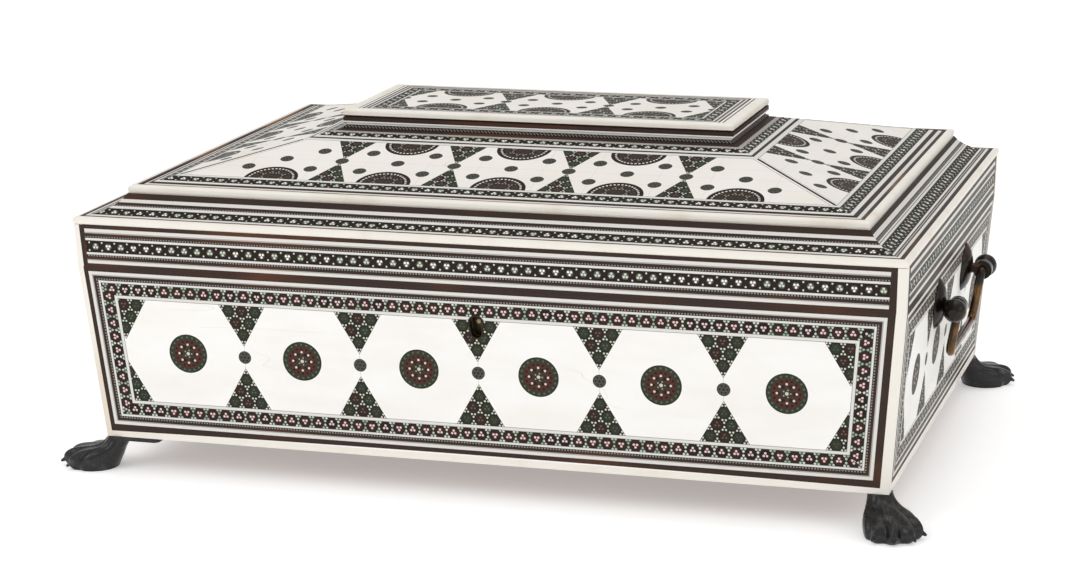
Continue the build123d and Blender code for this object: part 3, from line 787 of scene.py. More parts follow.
    def bands(self, under: Socket, depth: Term, along: Term,
              bands: Bands, scale: float = 1.0) -> Socket:
        """Lays every band but the mosaic, and the fine lines beside the mosaic.

        Args:
            under: Colour that they are laid on.
            depth: Distance from the first band's edge.
            along: Place along the bands.
            bands: The bands in order.
            scale: Factor on their widths.

        Returns:
            The colour.
        """
        colour, mix, start = under, self.bench.mix, 0.0
        ticks = abs(along.wrap(self.tick_pitch)) < self.tick_half
        fills = {Tone.DARK: self.dark_wood(), Tone.BROWN: ROOF_FOOT_BROWN, Tone.GREY: GREY_BONE,
                 Tone.DASHED: INK, Tone.BONE: LINE_BONE}
        for band in bands:
            end = start + band.width * scale
            if band.tone in fills:
                colour = mix(depth.between(start, end), colour, fills[band.tone])
            if band.tone is Tone.DASHED:
                low, high = start + self.tick_insets[0], end - self.tick_insets[1]
                colour = mix(depth.between(low, high) * ticks, colour, TICK_GREY)
            start = end
        lines = abs(depth - start) < self.line_half
        for edge in mosaic_span(bands):
            lines = lines | (abs(depth - edge * scale) < self.line_half)
        return mix(lines * self.line_strength, colour, INK)

    def band_mask(self, depth: Term, bands: Bands, scale: float = 1.0) -> Term:
        """Mask of the mosaic band, by the distance from the first band's edge."""
        low, high = mosaic_span(bands)
        return depth.between(low * scale, high * scale)

    def moulding(self, depth: Term, along: Term, bands: Bands,
                 scale: float = 1.0) -> tuple[Socket, Term]:
        """Bone with every band on it, the mosaic one among them.

        Args:
            depth: Distance from the first band's edge.
            along: Place along the bands.
            bands: The bands in order.
            scale: Factor on their widths.

        Returns:
            The colour, and the mask of the bone's cracks.
        """
        base, cracks = self.bone()
        strip = self.mosaic(along, depth - mosaic_middle(bands) * scale, LID_STYLE)
        colour = self.bench.mix(self.band_mask(depth, bands, scale), base, strip)
        return self.bands(colour, depth, along, bands, scale), cracks


@dataclass(frozen=True)
class EdgingLook:
    """Where the pale edgings seem to end, which isn't quite where their strips do."""

    front_left: float = 2.9
    front_right: float = 6.0
    lift: float = 0.9
    sag: float = 1.6
    lid_left: Span = (1.9, 3.3)
    lid_right: Span = (3.8, 4.5)
    rail_left: Span = (4.7, 5.8)
    rail_right: Span = (7.0, 8.2)

    def lower_edge(self, shape: BoxShape, x: Term) -> Term:
        """Height where the dark band ends above the front's lower edging."""
        share = x / shape.seam_half[0]
        return share * share * -self.sag + (shape.edging_top + self.lift)

    @staticmethod
    def slanted(shape: BoxShape, x: Term, z: Term, left: Span, right: Span) -> Term:
        """Width that changes evenly from the top of the lid's frame to the seam.

        Args:
            shape: Sizes of the box.
            x: Place along the front.
            z: Height.
            left: Widths at the top and at the seam on the left half.
            right: Widths at the top and at the seam on the right half.

        Returns:
            The width.
        """
        drop = shape.rail_top - shape.seam
        widths = [(shape.rail_top - z) * ((low - top) / drop) + top for top, low in (left, right)]
        return (x < 0.0).pick(*widths)


EDGING = EdgingLook()


@dataclass(frozen=True)
class InlaidFinish:
    """Inlay of one side, with plain wood on the faces that don't show from outside."""

    shape: BoxShape
    side: Side

    gloss: ClassVar[dict] = {"Coat Weight": 0.03, "Coat Roughness": 0.12,
                             "Specular IOR Level": 0.01}
    wood_roughness: ClassVar[float] = 0.55
    inlay_roughness: ClassVar[float] = 0.24
    scuff_roughness: ClassVar[float] = 0.16
    scuff_height: ClassVar[float] = 0.35
    crack_depth: ClassVar[float] = 0.6
    relief: ClassVar[float] = 0.06
    faces_out: ClassVar[float] = 0.5
    slopes_out: ClassVar[float] = 0.3

    def outward(self, bench: Bench) -> Term:
        """Mask of the faces that look out through the side."""
        return self.side.outward(*bench.facing()[:2]) > self.faces_out

    def close(self, bench: Bench, inlay: Socket, shown: Term, cracks: Term) -> Material:
        """Puts the inlay on the shown faces and finishes the material.

        Args:
            bench: Node tree.
            inlay: Colour of the inlay.
            shown: Mask of the faces that carry it.
            cracks: Mask of the fine cracks.

        Returns:
            The material.
        """
        wood, _ = bench.figured(PLAIN_GRAIN, PLAIN_WOOD, PLAIN_WOOD_DARK)
        scuffs = bench.read(SCUFFS)
        inlay_dullness = scuffs * self.scuff_roughness + self.inlay_roughness
        height = scuffs * self.scuff_height - cracks * self.crack_depth
        return bench.finish(bench.mix(shown, wood, inlay),
                            shown.pick(inlay_dullness, self.wood_roughness), self.gloss,
                            height=height, relief=self.relief)


@dataclass(frozen=True)
class CaseFaceFinish(InlaidFinish):
    """Inlay of a case side: a framed field of white hexagons with rosettes."""

    long_count: int = 6
    long_pitch: float = 62.4
    end_count: int = 4
    junction_radius: float = 3.4
    left_stretch: float = 2.8
    neck: float = 6.0
    plain_margin: float = 4.6
    saw_half: float = 0.12
    saw_strength: float = 0.8
    seam_half: float = 0.1
    seam_strength: float = 0.4

    def make(self) -> Material:
        """Builds the material."""
        bench = Bench(f"case_inlay_{self.side.value}")
        work = Marquetry(bench)
        shape, is_front = self.shape, self.side is Side.FRONT
        left, right = ((EDGING.front_left, EDGING.front_right) if is_front
                       else (self.plain_margin, self.plain_margin))
        x, y, z = bench.place()
        u = self.side.along(x, y)
        slope = math.sqrt(1.0 + shape.lean ** 2)
        frame = total(CASE_BANDS)
        low, high = shape.edging_top + EDGING.lift, shape.seam
        from_top, from_bottom = (high - z) * slope, (z - low) * slope
        from_end = shape.half_along(self.side, z) - abs(u) - (u < 0.0).pick(left, right)
        by_height = from_top & from_bottom
        depth = by_height & from_end
        along = (from_end < by_height).pick(from_bottom, u)
        middle = (low + high) / 2.0
        v = (z - middle) * slope
        half_height = (high - low) * slope / 2.0 - frame
        count, pitch = self.long_count, self.long_pitch
        if self.side.is_end:
            half = shape.seam_half[1] - shape.lean * (high - middle) - left - frame
            count, pitch = self.end_count, 2.0 * half / self.end_count
        joint_x, centre_x = u.wrap(pitch), (u + pitch / 2.0).wrap(pitch)
        if is_front:
            joint_x = joint_x + (u < -(count - 1) / 2.0 * pitch) * self.left_stretch
        inner, inside = abs(u) < pitch * (count - 1) / 2.0, depth > frame
        base, cracks = work.bone()
        colour = self.field(work, base, (joint_x, v), inner, inside, half_height)
        colour = work.rosette(colour, centre_x, v)
        colour = bench.mix(inner, colour, work.spot(colour, joint_x, v, self.junction_radius))
        border = work.mosaic(along, depth - mosaic_middle(CASE_BANDS), BORDER_STYLE)
        outside = bench.mix(work.band_mask(depth, CASE_BANDS), base, border)
        colour = bench.mix(inside, outside, colour)
        colour = work.bands(colour, depth, along, CASE_BANDS)
        colour = bench.mix(from_end < 0.0, colour, work.dark_wood())
        below = bench.mix(z > EDGING.lower_edge(shape, x), base, work.dark_wood())
        colour = bench.mix(from_bottom < 0.0, colour, below if is_front else base)
        return self.close(bench, colour, self.outward(bench), cracks)

    def field(self, work: Marquetry, base: Socket, place: tuple[Term, Term],
              inner: Term, inside: Term, half_height: float) -> Socket:
        """Triangles of mosaic between the hexagons, with the saw lines round them.

        Args:
            work: Pattern maker of the material.
            base: Colour of the hexagons.
            place: Place along the side from the nearest joint, and up from the middle.
            inner: Mask that leaves out the outer halves of the last hexagons.
            inside: Mask of the field.
            half_height: Half of the field's height.

        Returns:
            The colour.
        """
        bench, (joint_x, v) = work.bench, place
        tall, wide = abs(v), abs(joint_x)
        edge = (tall - self.neck) / ROOT3
        from_edge = half_height - tall - FIELD_STYLE.pitch * ROOT3 / 4.0
        mosaic = work.mosaic(joint_x, from_edge, FIELD_STYLE)
        colour = bench.mix(inside * (wide < edge), base, mosaic)
        saw = (abs(wide - edge) < self.saw_half) * inside * (tall > self.neck)
        seam = (wide < self.seam_half) * inside * (tall < self.neck) * inner
        return bench.mix(saw * self.saw_strength | seam * self.seam_strength, colour, INK)


@dataclass(frozen=True)
class RailFinish(InlaidFinish):
    """Line work and mosaic band of the lid's upright frame."""

    end_width: float = 3.4
    corner_edging: float = 4.6

    def make(self) -> Material:
        """Builds the material."""
        bench = Bench(f"lid_rail_inlay_{self.side.value}")
        work = Marquetry(bench)
        shape = self.shape
        x, y, z = bench.place()
        u = self.side.along(x, y)
        scale = (shape.rail_top - shape.seam) / total(RAIL_BANDS)
        colour, cracks = work.moulding(shape.rail_top - z, u, RAIL_BANDS, scale)
        half = shape.seam_half[1] if self.side.is_end else shape.seam_half[0]
        width: Number = self.corner_edging + self.end_width
        if self.side is Side.FRONT:
            width = EDGING.slanted(shape, x, z, EDGING.rail_left, EDGING.rail_right)
        colour = bench.mix(abs(u) + width > half, colour, work.dark_wood())
        return self.close(bench, colour, self.outward(bench), cracks)


@dataclass(frozen=True)
class CoveFinish(InlaidFinish):
    """Line work and mosaic band of the hollow moulding."""

    nosing_width: float = 4.2
    sag: float = 2.3

    def make(self) -> Material:
        """Builds the material."""
        bench = Bench(f"cove_inlay_{self.side.value}")
        shape = self.shape
        x, y, z = bench.place()
        u, out = self.side.along(x, y), self.side.outward(x, y)
        axis = 0 if self.side.is_end else 1
        run = shape.lid_half[axis] - shape.upper_nosing[axis] - self.nosing_width
        rise = shape.cove_high_z - shape.cove_low_z
        chord = math.hypot(run, rise)
        radius = (chord * chord / 4.0 + self.sag ** 2) / (2.0 * self.sag)
        lift = radius - self.sag
        middle_run = run / 2.0 - lift * rise / chord
        middle_rise = rise / 2.0 + lift * run / chord
        start = math.atan2(-middle_run, middle_rise)
        turn = 2.0 * math.asin(chord / 2.0 / radius)
        inward = shape.lid_half[axis] - self.nosing_width - out
        angle = (inward - middle_run).math("ARCTAN2", middle_rise + shape.cove_low_z - z)
        bands = COVE_END_BANDS if self.side.is_end else COVE_BANDS
        depth = (angle - start) * (total(bands) / turn)
        colour, cracks = Marquetry(bench).moulding(depth, u, bands)
        facing_x, facing_y, facing_z = bench.facing()
        shown = (self.side.outward(facing_x, facing_y) + facing_z) > self.slopes_out
        return self.close(bench, colour, shown, cracks)


@dataclass(frozen=True)
class FieldOfHexagons:
    """Field of white hexagons with half rosettes at both edges and five small spots each."""

    pitch: float
    half_height: float
    low_fans: float
    high_fans: float
    fan_radius: float = 14.5
    spot_radius: float = 3.5
    spot_along: float = 17.0
    spot_across: float = 11.2
    neck: float = 2.6
    spread: float = 0.45
    joint_share: float = 0.25
    fine_half: float = 0.09
    fine_strength: float = 0.22
    saw_half: float = 0.14
    saw_strength: float = 0.8

    def draw(self, work: Marquetry, under: Socket, u: Term, v: Term) -> Socket:
        """Draws the field.

        Args:
            work: Pattern maker of the material.
            under: Colour that it is laid on.
            u: Place along the field, with a hexagon centred on zero.
            v: Place across the field, from its middle.

        Returns:
            The colour.
        """
        mix, tall = work.bench.mix, abs(v)
        centre_x, joint_x = u.wrap(self.pitch), (u + self.pitch / 2.0).wrap(self.pitch)
        joints = abs(u) < self.low_fans + self.pitch * self.joint_share
        fans = abs(u) < (v < 0.0).pick(self.low_fans + self.pitch / 2.0,
                                       self.high_fans + self.pitch / 2.0)
        edge = (tall - self.neck) * self.spread
        from_edge = self.half_height - tall - FIELD_STYLE.pitch * ROOT3 / 4.0
        mosaic = work.mosaic(joint_x, from_edge, FIELD_STYLE)
        spot_x, spot_y = abs(centre_x) - self.spot_along, tall - self.spot_across
        fine = ((tall < self.fine_half) | (abs(spot_y) < self.fine_half)
                | (abs(spot_x) < self.fine_half))
        colour = mix(fine * self.fine_strength, under, INK)
        colour = mix((abs(joint_x) < edge) * joints, colour, mosaic)
        saw = (abs(abs(joint_x) - edge) < self.saw_half) * (tall > self.neck)
        colour = mix(saw * joints * self.saw_strength, colour, INK)
        colour = work.fan(colour, centre_x, self.half_height - tall, self.fan_radius, mosaic, fans)
        middle = length(centre_x, v) < length(spot_x, spot_y)
        colour = work.spot(colour, middle.pick(centre_x, spot_x), middle.pick(v, spot_y),
                           self.spot_radius)
        return mix(joints, colour, work.spot(colour, joint_x, v, self.spot_radius))


@dataclass(frozen=True)
class RoofFinish(InlaidFinish):
    """Inlay of one sloping board of the lid."""

    pitch: float = 61.0
    fan_inset: float = 15.0
    hip_lines: tuple[float, float, float] = (1.1, 2.64, 2.94)

    def make(self) -> Material:
        """Builds the material."""
        bench = Bench(f"roof_inlay_{self.side.value}")
        work = Marquetry(bench)
        shape = self.shape
        x, y, _ = bench.place()
        u, out = self.side.along(x, y), self.side.outward(x, y)
        axis = 0 if self.side.is_end else 1
        run, other_run = (shape.roof_foot[i] - shape.roof_top[i] for i in (axis, 1 - axis))
        slope = math.hypot(run, shape.roof_high_z - shape.roof_low_z) / run
        inset = shape.roof_foot[axis] - out
        depth, height = inset * slope, run * slope
        from_head = height - depth
        foot, head = total(ROOF_FOOT_BANDS), total(ROOF_HEAD_BANDS)
        half_height = (height - foot - head) / 2.0
        inside = depth.between(foot, height - head)
        hip = shape.roof_foot[1 - axis] - inset * (other_run / run) - abs(u)
        base, cracks = work.bone(LID_BONE_YELLOWING_AND_SHADE)
        fans = 1 if self.side.is_end else 2
        field = FieldOfHexagons(self.pitch, half_height, fans * self.pitch - self.fan_inset,
                                (fans - 1) * self.pitch)
        colour = field.draw(work, base, u, depth - (foot + half_height))
        strips = (work.band_mask(depth, ROOF_FOOT_BANDS)
                  | work.band_mask(from_head, ROOF_HEAD_BANDS))
        across = (depth < height / 2.0).pick(depth - mosaic_middle(ROOF_FOOT_BANDS),
                                             from_head - mosaic_middle(ROOF_HEAD_BANDS))
        outside = bench.mix(strips, base, work.mosaic(u, across, LID_STYLE))
        colour = bench.mix(inside, outside, colour)
        colour = work.bands(colour, depth, u, ROOF_FOOT_BANDS)
        colour = work.bands(colour, from_head, u, ROOF_HEAD_BANDS)
        dark, white, thin = self.hip_lines
        for line, tint in ((hip < dark, INK), (hip.between(dark, white), base),
                           (hip.between(white, thin), INK)):
            colour = bench.mix(line * inside, colour, tint)
        return self.close(bench, colour, bench.facing()[2] > self.slopes_out, cracks)


@dataclass(frozen=True)
class TopFinish(InlaidFinish):
    """Inlay of the flat top."""

    count: int = 3
    end_white: float = 3.8
    end_line: Span = (-0.55, -0.35)

    def make(self) -> Material:
        """Builds the material."""
        bench = Bench("top_inlay")
        work = Marquetry(bench)
        half_x, half_y = self.shape.panel_half
        x, y, _ = bench.place()
        by_x, by_y = half_x - self.end_white - abs(x), half_y - abs(y)
        depth = by_x & by_y
        along = (by_x < by_y).pick(y, x)
        frame = total(TOP_BANDS)
        pitch = 2.0 * (half_x - self.end_white - frame) / self.count
        field = FieldOfHexagons(pitch, half_y - frame, pitch * self.count, pitch * self.count,
                                fan_radius=14.2, spot_radius=3.0, spot_along=16.0,
                                spot_across=8.4)
        base, cracks = work.bone(LID_BONE_YELLOWING_AND_SHADE)
        strip = work.mosaic(along, depth - mosaic_middle(TOP_BANDS), LID_STYLE)
        outside = bench.mix(work.band_mask(depth, TOP_BANDS), base, strip)
        colour = bench.mix(depth > frame, outside, field.draw(work, base, x, y))
        colour = work.bands(colour, depth, along, TOP_BANDS)
        line = by_x.between(*(self.end_white * share for share in self.end_line))
        colour = bench.mix(line, colour, work.dark_wood())
        return self.close(bench, colour, bench.facing()[2] > self.faces_out, cracks)


@dataclass(frozen=True)
class PlinthFinish:
    """Dark frame under the flat top, with a white line and a dashed hollow."""

    shape: BoxShape
    white_line: Span = (2.1, 4.2)
    dashes: Span = (4.6, 5.5)
    dash_pitch: float = 1.9
    dash_half: float = 0.4
    roughness: float = 0.34

    def make(self) -> Material:
        """Builds the material."""
        bench = Bench("plinth_inlay")
        work = Marquetry(bench)
        x, y, z = bench.place()
        from_top = self.shape.plinth_high - z
        base, _ = work.bone()
        colour = bench.mix(from_top < self.white_line[0], INK, work.dark_wood())
        colour = bench.mix(from_top.between(*self.white_line), colour, base)
        dashes = abs((x + y).wrap(self.dash_pitch)) < self.dash_half
        colour = bench.mix(dashes * from_top.between(*self.dashes), colour, TICK_GREY)
        facing_x, facing_y, _ = bench.facing()
        outside = (x * facing_x + y * facing_y) > 0.0
        colour = bench.mix(outside, PLAIN_WOOD_DARK, colour)
        return bench.finish(colour, self.roughness, InlaidFinish.gloss)


class Strip(Enum):
    """Kind of bone strip, which says what dark band is laid on a part of it."""

    CORNER = "corner"
    LID_CORNER = "lid_corner"
    FOOT = "foot"
    LOWER = "lower"
    UPPER = "upper"
    RIM = "rim"


@dataclass(frozen=True)
class BoneFinish:
    """Warm polished bone of the edgings and mouldings."""

    shape: BoxShape
    strip: Strip
    corner_width: float = 8.0
    rim_dark_band: float = 1.0
    lower_inset: float = 2.8
    lower_drop: float = 1.0
    upper_inset: float = 3.5
    upper_drop: float = 1.2
    roughness: float = 0.24
    streak_roughness: float = 0.14
    relief: float = 0.05

    def make(self) -> Material:
        """Builds the material."""
        bench = Bench(f"bone_{self.strip.value}")
        colour, streaks = bench.figured(EDGE_STREAKS, EDGE_BONE, EDGE_SHADE)
        colour, stains = bench.figured(EDGE_STAINS, colour, BONE_STAIN)
        if self.strip in (Strip.LOWER, Strip.UPPER):
            colour = self.nosing(bench, colour)
        else:
            colour = bench.mix(self.wood(bench), colour, DARK_WOOD)
        roughness = streaks * self.streak_roughness + self.roughness
        return bench.finish(colour, roughness, InlaidFinish.gloss, height=stains,
                            relief=self.relief)

    def wood(self, bench: Bench) -> Term:
        """Mask of the dark wood on an edging, and of the dark band along the foot of the top's rim.
        """
        shape = self.shape
        x, _, z = bench.place()
        if self.strip is Strip.RIM:
            # The lowest millimetre of the top's rim is painted dark, like the plinth under it.
            return z < shape.plinth_high + self.rim_dark_band
        front = bench.facing()[1] < -InlaidFinish.faces_out
        if self.strip is Strip.LID_CORNER:
            limit = EDGING.slanted(shape, x, z, EDGING.lid_left, EDGING.lid_right)
            return front * (shape.seam_half[0] - abs(x) > limit)
        above = front * (z > EDGING.lower_edge(shape, x))
        if self.strip is Strip.FOOT:
            return above
        inward = shape.half_along(Side.FRONT, z) + x
        return above * inward.between(EDGING.front_left, self.corner_width)

    def nosing(self, bench: Bench, colour: Socket) -> Socket:
        """Lays a dark band, mottled with red-brown on the lower nosing and with brown on the upper
        one, on the inner part of a nosing's upper face.

        Args:
            bench: Node tree.
            colour: Colour of the bone.

        Returns:
            The colour.
        """
        shape = self.shape
        half, top, inset, band_tint = (
            (shape.lid_half, shape.cove_low_z - self.lower_drop, self.lower_inset, RED_WOOD)
            if self.strip is Strip.LOWER else
            (shape.upper_nosing, shape.roof_low_z - self.upper_drop, self.upper_inset, ROOF_FOOT_BROWN))
        x, y, z = bench.place()
        inward = (half[0] - abs(x)) & (half[1] - abs(y))
        # Dark band, mottled at random with red-brown on the lower nosing and with brown on the
        # upper one.
        wood, _ = bench.figured(NOSING_MOTTLE, DARK_WOOD, band_tint)
        return bench.mix((inward > inset) * (z > top), colour, wood)


@dataclass(frozen=True)
class MetalFinish:
    """Old cast or wrought metal: a dark skin over bare metal that shows where it is rubbed."""

    name: str
    skin: Tint
    bare: Tint
    rubbed: Span
    dullness: float
    relief: float
    worn_below: float = 0.0
    worn_fade: float = 5.0
    worn_rub: Span = (0.3, 0.6)
    rub_polish: float = 0.12
    pit_dullness: float = 0.2
    skin_metal: float = 0.7
    rub_metal: float = 0.25

    def make(self) -> Material:
        """Builds the material."""
        bench = Bench(self.name)
        rub, pits = bench.read(METAL_RUB), bench.read(METAL_PITS)
        rubbed = bench.smooth(rub, *self.rubbed)
        if self.worn_below:
            worn = bench.smooth(bench.place()[2], self.worn_below,
                                self.worn_below - self.worn_fade)
            rubbed = rubbed | worn * bench.smooth(rub, *self.worn_rub)
        roughness = rubbed * -self.rub_polish + pits * self.pit_dullness + self.dullness
        return bench.finish(bench.mix(rubbed, self.skin, self.bare), roughness,
                            {"Specular IOR Level": 0.5}, height=pits, relief=self.relief,
                            metallic=rubbed * self.rub_metal + self.skin_metal)


@dataclass(frozen=True)
class WoodFinish:
    """Plain waxed wood with its grain along the box."""

    name: str
    light: Tint
    dark: Tint
    roughness: float = 0.38
    grain_roughness: float = 0.2
    relief: float = 0.04

    def make(self) -> Material:
        """Builds the material."""
        bench = Bench(self.name)
        colour, grain = bench.figured(WOOD_GRAIN, self.light, self.dark)
        colour, pores = bench.figured(WOOD_PORES, colour, self.dark)
        return bench.finish(colour, grain * self.grain_roughness + self.roughness,
                            {"Specular IOR Level": 0.4}, height=pores, relief=self.relief)


FOOT_BRONZE = MetalFinish("foot_bronze", Tint(50, 49, 49), Tint(116, 112, 108),
                          rubbed=(0.56, 0.85), dullness=0.18, relief=0.1)
HANDLE_BRONZE = MetalFinish("handle_bronze", Tint(42, 37, 34), Tint(96, 70, 54),
                            rubbed=(0.58, 0.82), dullness=0.14, relief=0.03)
# Dark brass that paints the shade in the screw slots, and partly the shade inside the keyhole.
DARK_BRASS_AND_SHADE = MetalFinish("dark_brass_and_shade", Tint(44, 38, 28), Tint(84, 72, 50),
                         rubbed=(0.55, 0.8), dullness=0.4, relief=0.05)
OLD_BRASS = MetalFinish("old_brass", Tint(122, 108, 84), Tint(176, 156, 112),
                        rubbed=(0.45, 0.7), dullness=0.3, relief=0.04)
CASE_WOOD = WoodFinish("case_wood", PLAIN_WOOD, PLAIN_WOOD_DARK)
TRAY_WOOD = WoodFinish("tray_wood", Tint(142, 88, 52), Tint(98, 54, 30))


def stand(name: str, data: bpy.types.ID) -> bpy.types.Object:
    """Puts a new object in the scene, from its data."""
    made = bpy.data.objects.new(name, data)
    bpy.context.scene.collection.objects.link(made)
    return made


class Piece:
    """Mesh that is put together from closed parts and rides on a body."""

    def __init__(self, name: str) -> None:
        """Starts an empty piece of this name."""
        self.name = name
        self.points: list[Point] = []
        self.faces: list[tuple[int, ...]] = []
        self.tones: list[int] = []

    def add(self, points: list[Point], faces: list[tuple[int, ...]], tone: int = 0) -> None:
        """Adds a part.

        Args:
            points: Its corners in millimetres.
            faces: Its faces, by number of corner.
            tone: Number of its material.
        """
        first = len(self.points)
        self.points += points
        self.faces += [tuple(first + i for i in face) for face in faces]
        self.tones += [tone] * len(faces)

    def place(self, body: str, slot: str, materials: tuple[Material, ...],
              smooth: bool = False) -> None:
        """Makes the mesh and hangs it on its body.

        Args:
            body: Body that it rides on.
            slot: Material slot of the record; not used.
            materials: Its materials.
            smooth: Whether its faces are shaded as one round surface.
        """
        mesh = bpy.data.meshes.new(self.name)
        mesh.from_pydata([tuple(c * MM for c in point) for point in self.points], [], self.faces)
        for material in materials:
            mesh.materials.append(material)
        for polygon, tone in zip(mesh.polygons, self.tones):
            polygon.material_index = tone
            polygon.use_smooth = smooth
        made = stand(self.name, mesh)
        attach(made, body)
        LOG.info("added %s with %d faces", self.name, len(self.faces))


@dataclass(frozen=True)
class ScrewHead:
    """Flush slotted screw head."""

    place: Point
    up: float
    radius: float
    turn: float
    proud: float = 0.04
    sunk: float = 0.3
    slot_width: float = 0.7
    slot_floor: float = 0.3
    steps: int = 10

    def build(self, piece: Piece) -> None:
        """Adds the head's two halves and the floor of its slot to a piece. The floor takes the
        second material, a dark brass that paints the shade in the slot.
        """
        gap = math.asin(self.slot_width / 2.0 / self.radius)
        arc = [gap + (math.pi - 2.0 * gap) * i / self.steps for i in range(self.steps + 1)]
        half = [(self.radius * math.cos(a), self.radius * math.sin(a)) for a in arc]
        other = [(-x, -y) for x, y in half]
        floor = [half[-1], other[0], other[-1], half[0]]
        # The slot's floor takes the second material, which paints the shade in the slot.
        for outline, high, tone in ((half, self.proud, 0), (other, self.proud, 0),
                                    (floor, self.proud * self.slot_floor, 1)):
            self._prism(piece, outline, high, tone)

    def _prism(self, piece: Piece, outline: list[Span], high: float, tone: int) -> None:
        """Adds a straight body over an outline.

        Args:
            piece: Piece that it goes to.
            outline: Its corners round the head's middle.
            high: Height of its top over the face that the head lies in.
            tone: Number of its material.
        """
        turn, count = math.radians(self.turn), len(outline)
        turned = [(x * math.cos(turn) - y * math.sin(turn), x * math.sin(turn) + y * math.cos(turn))
                  for x, y in outline]
        x0, y0, z0 = self.place
        points = [(x0 + x, y0 + self.up * y, z0 + self.up * z)
                  for z in (-self.sunk, high) for x, y in turned]
        sides = [(i, (i + 1) % count, count + (i + 1) % count, count + i) for i in range(count)]
        ends = [tuple(reversed(range(count))), tuple(range(count, 2 * count))]
        piece.add(points, ends + sides, tone)


@dataclass(frozen=True)
class Screws:
    """Heads of the screws in the hinge leaves and under the feet."""

    hinge_middles: tuple[float, ...] = (-130.0, 130.0)
    hinge_pitch: float = 11.0
    hinge_depth: float = 138.2
    hinge_radius: float = 2.0
    tab_middle: float = 13.0
    tab_thickness: float = 2.6
    tab_radius: float = 2.4
    first_turn: float = 20.0
    turn_step: float = 37.0
    foot_turn: float = 25.0
    ankles: tuple[tuple[float, float, float], ...] = (
        (-199.84, -132.04, 180.0), (199.84, -132.04, 302.0), (199.84, 132.04, 50.0),
        (-199.84, 132.04, 122.0))

    def add(self, shape: BoxShape, metal: Material, dim_brass_and_shade: Material) -> None:
        """Adds every head.

        Args:
            shape: Sizes of the box.
            metal: Finish of the heads.
            dim_brass_and_shade: Dark brass of the slots' floors, painted shade in the slots.
        """
        for body, up in (("case", 1.0), ("lid", -1.0)):
            piece = Piece(f"{body}_hinge_screws")
            for i, middle in enumerate(self.hinge_middles):
                for j in (-1, 0, 1):
                    place = (middle + j * self.hinge_pitch, self.hinge_depth, shape.seam)
                    turn = self.turn_step * (3 * i + j) + self.first_turn
                    ScrewHead(place, up, self.hinge_radius, turn).build(piece)
            piece.place(body, "aged_brass", (metal, dim_brass_and_shade))
        feet = Piece("foot_screws")
        for x, y, heading in self.ankles:
            turn = math.radians(heading)
            place = (x - self.tab_middle * math.cos(turn), y - self.tab_middle * math.sin(turn),
                     shape.bottom - self.tab_thickness)
            ScrewHead(place, -1.0, self.tab_radius, heading + self.foot_turn).build(feet)
        feet.place("case", "foot_bronze", (metal, dim_brass_and_shade))


@dataclass(frozen=True)
class HandlePlate:
    """Broad domed leaf under a handle's post, pointed above and below."""

    half_height: float = 13.3
    half_width: float = 10.4
    dome: float = 4.9
    pinch: float = 0.3
    steps: int = 36
    shares: tuple[float, ...] = (1.0, 0.96, 0.84, 0.66, 0.42, 0.18)
    heights: tuple[float, ...] = (-0.03, 0.14, 0.42, 0.7, 0.9, 0.99)

    def build(self, piece: Piece, shape: BoxShape, side: float, y0: float, z0: float) -> None:
        """Adds the leaf to a piece.

        Args:
            piece: Piece that it goes to.
            shape: Sizes of the box.
            side: 1 on the right end and -1 on the left.
            y0: Its middle across the end.
            z0: Its middle upwards.
        """
        lean = math.atan(shape.lean)
        points: list[Point] = []
        for share, height in zip((*self.shares, 0.0), (*self.heights, 1.0)):
            for i in range(self.steps if share else 1):
                turn = FULL_TURN * i / self.steps
                tall = math.sin(turn)
                wide = math.cos(turn) * (1.0 - self.pinch * tall ** 4)
                z = z0 + share * self.half_height * tall
                out = shape.seam_half[0] + (z - shape.seam) * shape.lean
                out += height * self.dome * math.cos(lean)
                y = y0 + side * share * self.half_width * wide
                points.append((side * out, y, z - height * self.dome * math.sin(lean)))
        faces: list[tuple[int, ...]] = []
        for ring in range(len(self.shares) - 1):
            low, high = ring * self.steps, (ring + 1) * self.steps
            for i in range(self.steps):
                j = (i + 1) % self.steps
                faces.append((low + i, low + j, high + j, high + i))
        last, tip = (len(self.shares) - 1) * self.steps, len(points) - 1
        faces += [(last + i, last + (i + 1) % self.steps, tip) for i in range(self.steps)]
        faces.append(tuple(reversed(range(self.steps))))
        piece.add(points, faces)


@dataclass
class Case:
    """The leaning case with its inlay, edgings, lock, hinges and handle fittings."""

    shape: BoxShape
    wood_nodes: tuple[str, ...] = ("case_front", "case_back", "case_left", "case_right",
                                   "base_board", "tray_rests")
    brass_nodes: tuple[str, ...] = ("lock_case", "lock_bolt", "hinge_pins", "case_hinge_leaves")

    def dress(self, dresser: "Dresser") -> None:
        """Gives every node of the case its finish."""
        for side in Side:
            dresser.dress(CaseFaceFinish(self.shape, side).make(), f"inlay_{side.value}")
        dresser.dress(CASE_WOOD.make(), *self.wood_nodes)
        dresser.dress(BoneFinish(self.shape, Strip.CORNER).make(), "case_corner_edgings")
        dresser.dress(BoneFinish(self.shape, Strip.FOOT).make(), "case_bottom_edgings")
        # Dark brass for the keyhole's lining, partly its old brass and partly painted shade inside
        # the hole, and for the screw slots, where it is painted shade.
        dim_brass_and_shade = DARK_BRASS_AND_SHADE.make()
        dresser.dress(dim_brass_and_shade, "keyhole_lining")
        dresser.dress(dresser.brass, *self.brass_nodes)
        Screws().add(self.shape, dresser.brass, dim_brass_and_shade)


@dataclass
class Feet:
    """The four cast lion paws."""

    corners: tuple[str, ...] = ("front_left", "front_right", "back_right", "back_left")

    def dress(self, dresser: "Dresser") -> None:
        """Gives the paws their bronze."""
        dresser.dress(FOOT_BRONZE.make(), *(f"paw_foot_{corner}" for corner in self.corners))


